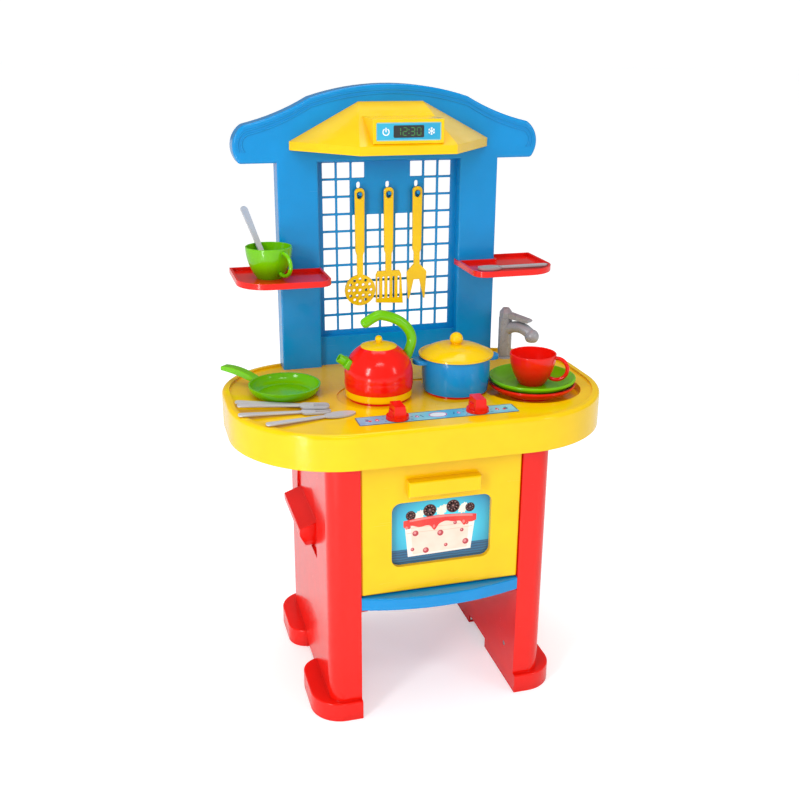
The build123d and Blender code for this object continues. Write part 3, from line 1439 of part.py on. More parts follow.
with BuildSketch() as turner_outline:
    add(utensil_handle(0, utensil_bottom + turner_length - wall))
    with BuildLine():
        blade_top = utensil_bottom + turner_length
        Polyline((-turner_half + wall, blade_top), (turner_half - wall, blade_top),
                 (turner_half, blade_top - 2 * wall), (turner_half + wall, utensil_bottom),
                 (-turner_half, utensil_bottom + wall), (-turner_half, blade_top - 2 * wall),
                 close=True)
    make_face()
    with Locations((0, utensil_bottom + turner_length / 2)):
        with GridLocations(2 * turner_half / turner_slots, 0, turner_slots, 1):
            SlotOverall(turner_length * 0.66, turner_slot, rotation=90, mode=Mode.SUBTRACT)

with BuildSketch() as carver_outline:
    add(utensil_handle(hook_spacing, utensil_bottom + carver_length - wall))
    with Locations((hook_spacing, utensil_bottom)):
        with BuildSketch(mode=Mode.PRIVATE) as prongs:
            with BuildLine():
                Polyline((-neck_half, carver_length), (-carver_half, carver_length * 0.8),
                         (-carver_half + wall, 0), (-neck_half, carver_length * 0.6),
                         (neck_half, carver_length * 0.6), (carver_half - wall, 0),
                         (carver_half, carver_length * 0.8), (neck_half, carver_length), close=True)
            make_face()
            fillet(prongs.vertices().group_by(Axis.Y)[0], prong_tip)
            fillet(prongs.vertices().group_by(Axis.Y)[-2], carver_half / 3)
        add(prongs.sketch)

hang(skimmer_outline.sketch, "skimmer")
hang(turner_outline.sketch, "turner")
hang(carver_outline.sketch, "carving_fork")
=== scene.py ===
import json
import math

import bmesh
import bpy
from mathutils import Matrix, Vector


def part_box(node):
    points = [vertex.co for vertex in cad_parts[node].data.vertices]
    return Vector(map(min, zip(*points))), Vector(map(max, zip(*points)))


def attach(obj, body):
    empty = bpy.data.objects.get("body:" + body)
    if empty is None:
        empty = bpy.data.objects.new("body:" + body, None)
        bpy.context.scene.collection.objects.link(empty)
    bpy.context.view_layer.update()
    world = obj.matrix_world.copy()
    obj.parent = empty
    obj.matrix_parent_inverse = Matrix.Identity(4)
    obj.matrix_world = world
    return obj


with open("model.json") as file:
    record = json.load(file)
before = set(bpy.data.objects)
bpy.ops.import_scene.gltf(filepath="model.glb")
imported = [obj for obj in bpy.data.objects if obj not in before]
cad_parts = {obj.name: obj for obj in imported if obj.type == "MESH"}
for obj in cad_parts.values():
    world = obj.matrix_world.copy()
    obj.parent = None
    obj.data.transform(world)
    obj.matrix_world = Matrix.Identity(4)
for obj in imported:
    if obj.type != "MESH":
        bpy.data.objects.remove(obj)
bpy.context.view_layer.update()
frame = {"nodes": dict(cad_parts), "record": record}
print("frame loaded:", len(frame["nodes"]), "moulded pieces")

mm = 0.001


# material building helpers

def newMaterial(name):
    material = bpy.data.materials.new(name)
    material.use_nodes = True
    material.node_tree.nodes.clear()
    return material, material.node_tree


def addNode(tree, kind, place=(0, 0), **settings):
    node = tree.nodes.new(kind)
    node.location = place
    for key, value in settings.items():
        setattr(node, key, value)
    return node


def setInput(node, name, value):
    node.inputs[name].default_value = value


def mixColour(tree, factor, first, second, place=(0, 0)):
    node = addNode(tree, "ShaderNodeMix", place, data_type="RGBA")
    sockets = [s for s in node.inputs if s.enabled]
    for socket, value in zip(sockets, (factor, first, second)):
        if isinstance(value, (float, int, tuple, list)):
            socket.default_value = value
        else:
            tree.links.new(value, socket)
    return [s for s in node.outputs if s.enabled][0]


def mathNode(tree, operation, first, second=0.0, place=(0, 0), clamp=False):
    node = addNode(tree, "ShaderNodeMath", place, operation=operation, use_clamp=clamp)
    for socket, value in zip(node.inputs, (first, second)):
        if isinstance(value, (float, int)):
            socket.default_value = value
        else:
            tree.links.new(value, socket)
    return node.outputs[0]


def noiseNode(tree, vector, scale, detail, place=(0, 0), roughness=0.5):
    node = addNode(tree, "ShaderNodeTexNoise", place)
    tree.links.new(vector, node.inputs["Vector"])
    setInput(node, "Detail", detail)
    setInput(node, "Roughness", roughness)
    setInput(node, "Scale", scale)
    return node.outputs["Fac"]


def remap(tree, value, fromLow, fromHigh, toLow, toHigh, place=(0, 0)):
    node = addNode(tree, "ShaderNodeMapRange", place)
    tree.links.new(value, node.inputs["Value"])
    limits = {"From Min": fromLow, "From Max": fromHigh, "To Min": toLow, "To Max": toHigh}
    for name, number in limits.items():
        setInput(node, name, number)
    return node.outputs["Result"]


def finishMaterial(tree, shader, column):
    output = addNode(tree, "ShaderNodeOutputMaterial", (column, 0))
    tree.links.new(shader.outputs["BSDF"], output.inputs["Surface"])


def newGroup(name, inputs, outputs):
    group = bpy.data.node_groups.new(name, "ShaderNodeTree")
    for label, kind, value in inputs:
        group.interface.new_socket(label, in_out="INPUT", socket_type=kind).default_value = value
    for label, kind in outputs:
        group.interface.new_socket(label, in_out="OUTPUT", socket_type=kind)
    return group, addNode(group, "NodeGroupInput", (-900, 0)), addNode(group, "NodeGroupOutput", (900, 0))


# shared effects: flow of the melt, orange peel, and painted shade that darkens the colour in corners and
# hollows of moulded plastic
def makeMouldedSurfaceAndShade():
    group, given, result = newGroup(
        "Moulded surface and painted shade",
        [("Tint", "NodeSocketColor", (1, 1, 1, 1)), ("Painted Shade Colour", "NodeSocketColor", (0.5, 0.5, 0.5, 1)),
         ("Painted Shade Strength", "NodeSocketFloat", 0.6), ("Flow", "NodeSocketFloat", 0.05),
         ("Gloss", "NodeSocketFloat", 0.2), ("Peel", "NodeSocketFloat", 0.5)],
        [("Colour", "NodeSocketColor"), ("Roughness", "NodeSocketFloat"), ("Height", "NodeSocketFloat")])
    links = group.links
    where = addNode(group, "ShaderNodeTexCoord", (-900, 400)).outputs["Object"]
    # painted shade: ambient occlusion mixes the tint towards the shade colour in corners and hollows
    shade = addNode(group, "ShaderNodeAmbientOcclusion", (-700, 250), samples=6)
    setInput(shade, "Distance", 0.022)
    paintedShadeMask = remap(group, shade.outputs["AO"], 0.35, 0.95, 1.0, 0.0, (-500, 250))
    depth = mathNode(group, "MULTIPLY", paintedShadeMask, given.outputs["Painted Shade Strength"], (-320, 250))
    deep = mixColour(group, depth, given.outputs["Tint"], given.outputs["Painted Shade Colour"], (-140, 250))
    flow = noiseNode(group, where, 22.0, 3.0, (-700, 0), 0.55)
    sway = remap(group, flow, 0.3, 0.7, -1.0, 1.0, (-500, 0))
    amount = mathNode(group, "MULTIPLY", sway, given.outputs["Flow"], (-320, 0))
    lift = mathNode(group, "ADD", amount, 1.0, (-140, 0))
    hue = addNode(group, "ShaderNodeHueSaturation", (60, 200))
    links.new(lift, hue.inputs["Value"])
    links.new(deep, hue.inputs["Color"])
    links.new(hue.outputs["Color"], result.inputs["Colour"])
    handling = noiseNode(group, where, 75.0, 4.0, (-700, -200), 0.6)
    smudge = remap(group, handling, 0.35, 0.75, -0.03, 0.07, (-500, -200))
    dull = mathNode(group, "ADD", given.outputs["Gloss"], smudge, (-320, -200), clamp=True)
    links.new(dull, result.inputs["Roughness"])
    peel = noiseNode(group, where, 420.0, 2.0, (-700, -400))
    ripple = noiseNode(group, where, 38.0, 1.0, (-700, -550))
    fine = mathNode(group, "MULTIPLY", peel, given.outputs["Peel"], (-500, -400))
    slow = mathNode(group, "MULTIPLY", ripple, 1.6, (-500, -550))
    links.new(mathNode(group, "ADD", fine, slow, (-320, -450)), result.inputs["Height"])
    return group


# hair scratches from play, as a mask that runs in two directions
def makeHairScratches():
    group, given, result = newGroup(
        "Hair scratches", [("Density", "NodeSocketFloat", 0.5), ("Length", "NodeSocketFloat", 14.0)],
        [("Mask", "NodeSocketFloat")])
    where = addNode(group, "ShaderNodeTexCoord", (-900, 200)).outputs["Object"]
    masks = []
    for turn, row in ((0.35, 0), (-0.9, -300)):
        lay = addNode(group, "ShaderNodeMapping", (-700, row))
        group.links.new(where, lay.inputs["Vector"])
        setInput(lay, "Rotation", (0.2, 0.3 * turn, turn))
        spread = addNode(group, "ShaderNodeCombineXYZ", (-700, row - 150))
        group.links.new(given.outputs["Length"], spread.inputs["X"])
        setInput(spread, "Y", 620.0)
        setInput(spread, "Z", 620.0)
        group.links.new(spread.outputs["Vector"], lay.inputs["Scale"])
        hair = noiseNode(group, lay.outputs["Vector"], 1.0, 1.0, (-450, row))
        masks.append(remap(group, hair, 0.72, 0.76, 0.0, 1.0, (-250, row)))
    both = mathNode(group, "MAXIMUM", masks[0], masks[1], (0, 0))
    patch = noiseNode(group, where, 30.0, 2.0, (-450, -600))
    worn = remap(group, patch, 0.45, 0.62, 0.0, 1.0, (-250, -600))
    seen = mathNode(group, "MULTIPLY", both, worn, (200, -100))
    group.links.new(mathNode(group, "MULTIPLY", seen, given.outputs["Density"], (400, -100), clamp=True),
                    result.inputs["Mask"])
    return group


# pearl pigment in the grey plastics
def makePearlPigment():
    group, given, result = newGroup(
        "Pearl pigment",
        [("Base", "NodeSocketColor", (0.4, 0.4, 0.4, 1)), ("Sparkle", "NodeSocketFloat", 0.3)],
        [("Colour", "NodeSocketColor"), ("Mask", "NodeSocketFloat")])
    where = addNode(group, "ShaderNodeTexCoord", (-900, 200)).outputs["Object"]
    cells = addNode(group, "ShaderNodeTexVoronoi", (-700, 100))
    group.links.new(where, cells.inputs["Vector"])
    setInput(cells, "Scale", 2600.0)
    shine = addNode(group, "ShaderNodeSeparateColor", (-500, 100))
    group.links.new(cells.outputs["Color"], shine.inputs["Color"])
    flake = remap(group, shine.outputs["Red"], 0.55, 1.0, 0.0, 1.0, (-320, 100))
    mask = mathNode(group, "MULTIPLY", flake, given.outputs["Sparkle"], (-140, 100))
    bright = mixColour(group, mask, given.outputs["Base"], (0.95, 0.95, 0.97, 1), (60, 100))
    group.links.new(bright, result.inputs["Colour"])
    group.links.new(mask, result.inputs["Mask"])
    return group


# ink laid down in fine rosettes on the stickers
def makePrintedInk():
    group, given, result = newGroup(
        "Printed ink", [("Ink", "NodeSocketColor", (1, 1, 1, 1)), ("Dots", "NodeSocketFloat", 0.1)],
        [("Colour", "NodeSocketColor")])
    where = addNode(group, "ShaderNodeTexCoord", (-900, 200)).outputs["Object"]
    screen = addNode(group, "ShaderNodeTexVoronoi", (-700, 100), feature="F1")
    group.links.new(where, screen.inputs["Vector"])
    setInput(screen, "Scale", 1900.0)
    setInput(screen, "Randomness", 0.25)
    dot = remap(group, screen.outputs["Distance"], 0.25, 0.6, 1.0, 0.0, (-500, 100))
    amount = mathNode(group, "MULTIPLY", dot, given.outputs["Dots"], (-320, 100))
    soft = mixColour(group, amount, given.outputs["Ink"], (0.9, 0.93, 0.95, 1), (-140, 100))
    group.links.new(soft, result.inputs["Colour"])
    return group


mouldedSurfaceAndShade = makeMouldedSurfaceAndShade()
hairScratches = makeHairScratches()
pearlPigment = makePearlPigment()
printedInk = makePrintedInk()
print("shared effects built")


# softened arrises: real moulds have no knife edges
def softNormal(tree, height, strength, distance, radius, place=(250, -350)):
    edge = addNode(tree, "ShaderNodeBevel", (place[0] - 200, place[1] - 150), samples=4)
    setInput(edge, "Radius", radius)
    bump = addNode(tree, "ShaderNodeBump", place)
    setInput(bump, "Strength", strength)
    setInput(bump, "Distance", distance)
    tree.links.new(edge.outputs["Normal"], bump.inputs["Normal"])
    tree.links.new(height, bump.inputs["Height"])
    return bump.outputs["Normal"]


# colours are linear; the second colour of each is painted shade, what the colour turns to in its corners
plastics = {
    "red_plastic": {"tint": (0.93, 0.009, 0.003), "recess": (0.62, 0.003, 0.002),
        "gloss": 0.17, "scratches": 0.25},
    "yellow_plastic": {"tint": (1.0, 0.64, 0.0), "recess": (0.97, 0.42, 0.0),
        "gloss": 0.17, "scratches": 0.30},
    "blue_plastic": {"tint": (0.0, 0.29, 0.70), "recess": (0.0, 0.19, 0.52),
        "gloss": 0.20, "scratches": 0.20},
    "green_plastic": {"tint": (0.17, 0.58, 0.0), "recess": (0.07, 0.36, 0.0),
        "gloss": 0.17, "scratches": 0.25},
    "white_plastic": {"tint": (0.76, 0.76, 0.74), "recess": (0.5, 0.5, 0.48),
        "gloss": 0.38, "scratches": 0.10},
}


# how a moulding's surface runs: painted shade in its corners, melt flow, orange peel and play scratches
mouldGrain = {"recess": 0.6, "flow": 0.045, "peel": 0.35, "hairLength": 14.0, "scuff": 0.35}
pearlGrain = {"recess": 0.6, "flow": 0.06, "peel": 0.8, "hairLength": 22.0, "scuff": 0.25}
pearlScratches = 0.6


def mouldedCoat(tree, grain, gloss, scratches):
    surface = addNode(tree, "ShaderNodeGroup", (-300, 0), node_tree=mouldedSurfaceAndShade)
    # strength of the painted shade in corners and hollows
    setInput(surface, "Painted Shade Strength", grain["recess"])
    setInput(surface, "Flow", grain["flow"])
    setInput(surface, "Gloss", gloss)
    setInput(surface, "Peel", grain["peel"])
    scuffs = addNode(tree, "ShaderNodeGroup", (-300, -300), node_tree=hairScratches)
    setInput(scuffs, "Density", scratches)
    setInput(scuffs, "Length", grain["hairLength"])
    worn = mathNode(tree, "MULTIPLY", scuffs.outputs["Mask"], grain["scuff"], (-80, -250))
    rough = mathNode(tree, "ADD", surface.outputs["Roughness"], worn, (80, -150), clamp=True)
    return surface, rough


def makePlastic(name, choice):
    material, tree = newMaterial(name)
    surface, rough = mouldedCoat(tree, mouldGrain, choice["gloss"], choice["scratches"])
    setInput(surface, "Tint", (*choice["tint"], 1))
    # painted shade colour for the corners and hollows
    setInput(surface, "Painted Shade Colour", (*choice["recess"], 1))
    shader = addNode(tree, "ShaderNodeBsdfPrincipled", (450, 0))
    setInput(shader, "IOR", 1.49)
    setInput(shader, "Specular IOR Level", 0.38)
    setInput(shader, "Subsurface Weight", 0.06)
    setInput(shader, "Subsurface Radius", (0.004, 0.0025, 0.0015))
    setInput(shader, "Coat Weight", 0.22)
    setInput(shader, "Coat Roughness", 0.05)
    tree.links.new(surface.outputs["Colour"], shader.inputs["Base Color"])
    tree.links.new(rough, shader.inputs["Roughness"])
    softened = softNormal(tree, surface.outputs["Height"], 0.12, 0.0006, 0.0006)
    tree.links.new(softened, shader.inputs["Normal"])
    finishMaterial(tree, shader, 750)
    return material


greys = {
    "grey_plastic": {"base": (0.40, 0.41, 0.44), "sparkle": 0.20, "gloss": 0.28, "metal": 0.12},
    "silver_plastic": {"base": (0.62, 0.62, 0.64), "sparkle": 0.30, "gloss": 0.32, "metal": 0.12},
}


def makeGrey(name, choice):
    material, tree = newMaterial(name)
    pearl = addNode(tree, "ShaderNodeGroup", (-600, 0), node_tree=pearlPigment)
    setInput(pearl, "Base", (*choice["base"], 1))
    setInput(pearl, "Sparkle", choice["sparkle"])
    surface, rough = mouldedCoat(tree, pearlGrain, choice["gloss"], pearlScratches)
    tree.links.new(pearl.outputs["Colour"], surface.inputs["Tint"])
    # painted shade: occluded corners darken to under half the base colour
    setInput(surface, "Painted Shade Colour", (*[0.45 * c for c in choice["base"]], 1))
    flakes = mathNode(tree, "MULTIPLY", pearl.outputs["Mask"], 0.5, (-80, 200))
    metal = mathNode(tree, "ADD", flakes, choice["metal"], (80, 200), clamp=True)
    shader = addNode(tree, "ShaderNodeBsdfPrincipled", (450, 0))
    setInput(shader, "IOR", 1.5)
    setInput(shader, "Coat Weight", 0.1)
    setInput(shader, "Coat Roughness", 0.15)
    tree.links.new(surface.outputs["Colour"], shader.inputs["Base Color"])
    tree.links.new(metal, shader.inputs["Metallic"])
    tree.links.new(rough, shader.inputs["Roughness"])
    softened = softNormal(tree, surface.outputs["Height"], 0.18, 0.0006, 0.0004)
    tree.links.new(softened, shader.inputs["Normal"])
    finishMaterial(tree, shader, 750)
    return material


def makeScrewSteel():
    material, tree = newMaterial("screwSteel")
    scuffs = addNode(tree, "ShaderNodeGroup", (-300, -200), node_tree=hairScratches)
    setInput(scuffs, "Density", 1.0)
    setInput(scuffs, "Length", 60.0)
    where = addNode(tree, "ShaderNodeTexCoord", (-700, 100)).outputs["Object"]
    cloud = noiseNode(tree, where, 300.0, 4.0, (-500, 100))
    colour = mixColour(tree, cloud, (0.42, 0.42, 0.43, 1), (0.66, 0.66, 0.67, 1), (-250, 100))
    rough = mathNode(tree, "ADD", mathNode(tree, "MULTIPLY", scuffs.outputs["Mask"], 0.3, (-80, -150)),
                     0.28, (80, -150))
    shader = addNode(tree, "ShaderNodeBsdfPrincipled", (300, 0))
    setInput(shader, "Metallic", 1.0)
    tree.links.new(colour, shader.inputs["Base Color"])
    tree.links.new(rough, shader.inputs["Roughness"])
    tree.links.new(softNormal(tree, cloud, 0.15, 0.0003, 0.0002, (100, -400)), shader.inputs["Normal"])
    finishMaterial(tree, shader, 600)
    return material


cardGloss = 0.16


def finishPrint(tree, colour):
    ink = addNode(tree, "ShaderNodeGroup", (250, 0), node_tree=printedInk)
    tree.links.new(colour, ink.inputs["Ink"])
    setInput(ink, "Dots", 0.05)
    where = addNode(tree, "ShaderNodeTexCoord", (0, -300)).outputs["Object"]
    cockle = noiseNode(tree, where, 55.0, 2.0, (150, -300))
    bump = addNode(tree, "ShaderNodeBump", (350, -300))
    setInput(bump, "Strength", 0.08)
    setInput(bump, "Distance", 0.0005)
    tree.links.new(cockle, bump.inputs["Height"])
    wear = remap(tree, cockle, 0.3, 0.7, cardGloss - 0.03, cardGloss + 0.05, (350, -150))
    shader = addNode(tree, "ShaderNodeBsdfPrincipled", (550, 0))
    setInput(shader, "Coat Weight", 0.3)
    setInput(shader, "Coat Roughness", 0.06)
    tree.links.new(ink.outputs["Colour"], shader.inputs["Base Color"])
    tree.links.new(wear, shader.inputs["Roughness"])
    tree.links.new(bump.outputs["Normal"], shader.inputs["Normal"])
    finishMaterial(tree, shader, 850)


# a printed colour that fades slightly from a lighter to a darker tone across its piece
def makeInk(name, light, dark, scale=60.0):
    material, tree = newMaterial(name)
    where = addNode(tree, "ShaderNodeTexCoord", (-500, 0)).outputs["Object"]
    tone = noiseNode(tree, where, scale, 2.0, (-300, 0))
    spread = remap(tree, tone, 0.35, 0.65, 0.0, 1.0, (-120, 0))
    finishPrint(tree, mixColour(tree, spread, (*light, 1), (*dark, 1), (60, 0)))
    return material


# distance from a point, squashed along the axes, in metres
def glowField(tree, centre, stretch, place):
    where = addNode(tree, "ShaderNodeTexCoord", place).outputs["Object"]
    shift = addNode(tree, "ShaderNodeVectorMath", (place[0] + 180, place[1]), operation="SUBTRACT")
    tree.links.new(where, shift.inputs[0])
    shift.inputs[1].default_value = centre
    squash = addNode(tree, "ShaderNodeVectorMath", (place[0] + 360, place[1]), operation="MULTIPLY")
    tree.links.new(shift.outputs[0], squash.inputs[0])
    squash.inputs[1].default_value = stretch
    length = addNode(tree, "ShaderNodeVectorMath", (place[0] + 540, place[1]), operation="LENGTH")
    tree.links.new(squash.outputs[0], length.inputs[0])
    return length.outputs["Value"], where


def makeOvenBackdrop():
    low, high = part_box("door_picture")
    centre = (low + high) / 2
    material, tree = newMaterial("ovenBackdrop")
    reach, where = glowField(tree, tuple(centre), (1.0, 0.0, 1.35), (-1100, 200))
    glow = remap(tree, reach, 0.030, 0.075, 0.0, 1.0, (-350, 200))
    wall = mixColour(tree, glow, (0.05, 0.74, 0.92, 1), (0.0, 0.22, 0.46, 1), (-150, 200))
    axes = addNode(tree, "ShaderNodeSeparateXYZ", (-700, -150))
    tree.links.new(where, axes.inputs[0])
    tableEdge = low.z + 19.0 * mm
    table = remap(tree, axes.outputs["Z"], tableEdge - 0.5 * mm, tableEdge + 0.5 * mm, 1.0, 0.0, (-500, -150))
    streaks = addNode(tree, "ShaderNodeTexWave", (-500, -350), bands_direction="Z")
    tree.links.new(where, streaks.inputs["Vector"])
    setInput(streaks, "Scale", 95.0)
    setInput(streaks, "Distortion", 2.5)
    boards = mixColour(tree, streaks.outputs["Fac"], (0.0, 0.05, 0.13, 1), (0.0, 0.14, 0.30, 1), (-300, -350))
    finishPrint(tree, mixColour(tree, table, wall, boards, (0, 0)))
    return material


cardBorder = 1.2 * mm
borderBlur = 0.1 * mm


def makeStripCard(name, node, pale, deep, border):
    low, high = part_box(node)
    centre = (low + high) / 2
    half = (high - low) / 2
    across = 2 if half.z > half.y else 1  # upright card or one that lies flat
    material, tree = newMaterial(name)
    where = addNode(tree, "ShaderNodeTexCoord", (-1100, 0)).outputs["Object"]
    axes = addNode(tree, "ShaderNodeSeparateXYZ", (-900, 0))
    tree.links.new(where, axes.inputs[0])
    edges = []
    for axis, row in ((0, 200), (across, -100)):
        offset = mathNode(tree, "SUBTRACT", axes.outputs[axis], centre[axis], (-700, row))
        reach = mathNode(tree, "ABSOLUTE", offset, 0.0, (-520, row))
        inside = half[axis] - cardBorder
        edges.append(remap(tree, reach, inside - borderBlur, inside + borderBlur, 0.0, 1.0, (-340, row)))
    rim = mathNode(tree, "MAXIMUM", edges[0], edges[1], (-160, 0))
    tone = noiseNode(tree, where, 26.0, 1.0, (-520, -350))
    field = mixColour(tree, remap(tree, tone, 0.35, 0.65, 0.0, 1.0, (-340, -350)), pale, deep, (-160, -250))
    finishPrint(tree, mixColour(tree, rim, field, border, (40, 0)))
    return material


finishes = {name: makePlastic(name.replace("_p", "P"), choice) for name, choice in plastics.items()}
finishes.update({name: makeGrey(name.replace("_p", "P"), choice) for name, choice in greys.items()})
finishes["screw_steel"] = makeScrewSteel()
finishes["picture_sticker"] = makeOvenBackdrop()
finishes["control_print"] = makeStripCard(
    "controlCard", "control_strip", (0.32, 0.72, 0.84, 1), (0.10, 0.48, 0.74, 1), (0.03, 0.13, 0.20, 1))
finishes["clock_print"] = makeStripCard(
    "clockCard", "display_sticker", (0.03, 0.50, 0.76, 1), (0.0, 0.36, 0.66, 1), (0.30, 0.72, 0.86, 1))
for subpart in frame["record"]["subparts"]:
    slots = frame["nodes"][subpart["node"]].data.materials
    slots.clear()
    slots.append(finishes[subpart["material_slot"]])


# printed layers: each is a thin closed slip with its top at its level, in millimetres over the card

inkThick = 0.02


def makePiece(name, mesh, materials):
    data = bpy.data.meshes.new(name)
    mesh.to_mesh(data)
    mesh.free()
    for material in materials:
        data.materials.append(material)
    piece = bpy.data.objects.new(name, data)
    bpy.context.scene.collection.objects.link(piece)
    return piece


def circlePoints(x, y, radius, steps, squash=1.0):
    return [(x + radius * math.cos(math.tau * i / steps),
             y + squash * radius * math.sin(math.tau * i / steps)) for i in range(steps)]


def roundedBox(x, y, width, height, corner, steps=6):
    points = []
    for sx, sy, start in ((1, 1, 0.0), (-1, 1, 0.25), (-1, -1, 0.5), (1, -1, 0.75)):
        cx, cy = x + sx * (width / 2 - corner), y + sy * (height / 2 - corner)
        points += [(cx + corner * math.cos(math.tau * (start + 0.25 * i / steps)),
                    cy + corner * math.sin(math.tau * (start + 0.25 * i / steps))) for i in range(steps + 1)]
    return points


def slip(mesh, outline, level, material):
    verts = [mesh.verts.new((x * mm, y * mm, (level - inkThick) * mm)) for x, y in outline]
    face = mesh.faces.new(verts)
    if face.normal.z > 0:
        face.normal_flip()
    raised = bmesh.ops.extrude_face_region(mesh, geom=[face])["geom"]
    faces = [f for f in raised if isinstance(f, bmesh.types.BMFace)]
    bmesh.ops.translate(mesh, verts=[v for v in raised if isinstance(v, bmesh.types.BMVert)],
                        vec=(0, 0, inkThick * mm))
    for f in {g for top in faces for v in top.verts for g in v.link_faces} | {face}:
        f.material_index = material


# part of a ring, from one share of a full turn to another
def ringSlip(mesh, x, y, outer, inner, level, material, first, last, steps=36):
    low = level - inkThick
    rows = []
    for radius, height in ((inner, low), (outer, low), (outer, level), (inner, level)):
        row = []
        for i in range(steps + 1):
            angle = math.tau * (first + (last - first) * i / steps)
            row.append(mesh.verts.new(((x + radius * math.cos(angle)) * mm,
                                       (y + radius * math.sin(angle)) * mm, height * mm)))
        rows.append(row)
    for i in range(steps):
        for a, b in ((0, 1), (1, 2), (2, 3), (3, 0)):
            corners = (rows[a][i], rows[a][i + 1], rows[b][i + 1], rows[b][i])
            mesh.faces.new(corners).material_index = material
    for i in (0, steps):
        mesh.faces.new([row[i] for row in rows]).material_index = material


def barSlip(mesh, start, end, width, level, material):
    along = Vector((end[0] - start[0], end[1] - start[1])).normalized()
    side = Vector((-along.y, along.x)) * width / 2
    a, b = Vector(start), Vector(end)
    slip(mesh, [tuple(a - side), tuple(b - side), tuple(b + side), tuple(a + side)], level, material)


# turns a flat print, drawn in x and y, to lie on its card: upright facing the child, or flat on the deck
def layOn(mesh, node, upright):
    low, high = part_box(node)
    centre = (low + high) / 2
    bmesh.ops.recalc_face_normals(mesh, faces=mesh.faces)
    if upright:
        turn = Matrix.Translation((centre.x, low.y, centre.z)) @ Matrix.Rotation(math.radians(90), 4, "X")
    else:
        turn = Matrix.Translation((centre.x, centre.y, high.z))
    bmesh.ops.transform(mesh, matrix=turn, verts=mesh.verts)


inks = {
    "sponge": makeInk("spongeInk", (0.96, 0.80, 0.66), (0.93, 0.72, 0.58)),
    "spongePale": makeInk("spongePaleInk", (1.0, 0.93, 0.86), (0.98, 0.86, 0.76)),
    "cream": makeInk("creamInk", (0.98, 0.95, 0.84), (0.90, 0.84, 0.68), 300.0),
    "icing": makeInk("icingInk", (0.90, 0.05, 0.03), (0.82, 0.02, 0.02)),
    "icingShine": makeInk("icingShineInk", (0.95, 0.28, 0.25), (0.92, 0.18, 0.17)),
    "berry": makeInk("berryInk", (0.09, 0.012, 0.012), (0.03, 0.006, 0.008), 700.0),
    "berryShine": makeInk("berryShineInk", (0.30, 0.10, 0.10), (0.45, 0.22, 0.18), 700.0),
    "cherry": makeInk("cherryInk", (0.62, 0.05, 0.06), (0.45, 0.02, 0.04), 500.0),
    "cherryShine": makeInk("cherryShineInk", (0.88, 0.34, 0.34), (0.80, 0.22, 0.24), 500.0),
    "layer": makeInk("layerInk", (0.88, 0.62, 0.46), (0.84, 0.56, 0.42)),
    "white": makeInk("whiteInk", (0.93, 0.96, 0.97), (0.86, 0.92, 0.95)),
    "night": makeInk("nightInk", (0.012, 0.016, 0.014), (0.006, 0.010, 0.009)),
    "lamp": makeInk("lampInk", (0.05, 0.26, 0.05), (0.03, 0.17, 0.04)),
    "pink": makeInk("pinkInk", (0.72, 0.12, 0.42), (0.62, 0.08, 0.36)),
    "navy": makeInk("navyInk", (0.03, 0.07, 0.28), (0.02, 0.05, 0.20)),
    "rose": makeInk("roseInk", (0.80, 0.04, 0.06), (0.70, 0.02, 0.05)),
}


# the cake on the door's sticker, in millimetres from the sticker's middle
cake = {
    "left": -44.0, "right": 43.0, "baseLeft": -39.5, "baseRight": 38.0, "base": -32.0, "top": 12.5,
    "slant": 1.5,  # how much the base rises to the right
    "berries": ((-36.5, 21.0, 6.2), (-13.5, 25.0, 8.2), (15.0, 27.2, 8.4), (36.0, 23.5, 6.0)),
    "cherries": ((-38.5, 6.5, 2.2), (-30.5, -2.5, 3.7), (0.0, -5.5, 3.8), (18.0, 5.5, 2.3),
                 (32.5, 3.5, 2.1), (26.5, -5.0, 2.3), (-34.0, -23.0, 2.3), (-17.5, -26.0, 3.7),
                 (7.0, -22.0, 2.3), (31.5, -20.5, 3.8)),
    "peaks": ((-27.0, 19.5, 6.5), (-24.0, 22.5, 5.0), (0.5, 23.0, 7.0), (4.5, 26.5, 5.0),
              (26.5, 22.5, 6.5), (29.5, 26.5, 4.5)),
    "drips": ((-41.0, 3.6, 4.2), (-7.5, 3.6, 6.4), (29.0, 3.2, 6.0)),  # place, width, depth
    "dripShine": ((-41.0, 4.5), (-7.5, 2.8), (29.0, 4.4)),
    "crumbLines": ((-1.2, 0.5), (4.6, 0.9)),  # height, rise
    "icingSteps": 60,
}
# heights of its layers of ink over the card
cakeLevels = {"side": 0.03, "edge": 0.05, "foot": 0.06, "crumb": 0.07, "cream": 0.08, "cherry": 0.09,
              "cherryShine": 0.11, "berry": 0.11, "bead": 0.13, "beadShine": 0.15, "icing": 0.17,
              "icingShine": 0.19}
cakeInks = ["sponge", "spongePale", "cream", "icing", "icingShine", "berry", "berryShine", "cherry",
            "cherryShine", "layer"]


def icingEdge(x):
    wave = 1.6 * math.sin(x * 0.115 + 0.4) + 0.9 * math.sin(x * 0.29)
    drips = sum(depth * math.exp(-((x - place) / width) ** 2) for place, width, depth in cake["drips"])
    return cake["top"] - 5.5 + wave - drips


def icingTop(x):
    return cake["top"] + 5.2 - 0.0016 * (x + 4.0) ** 2


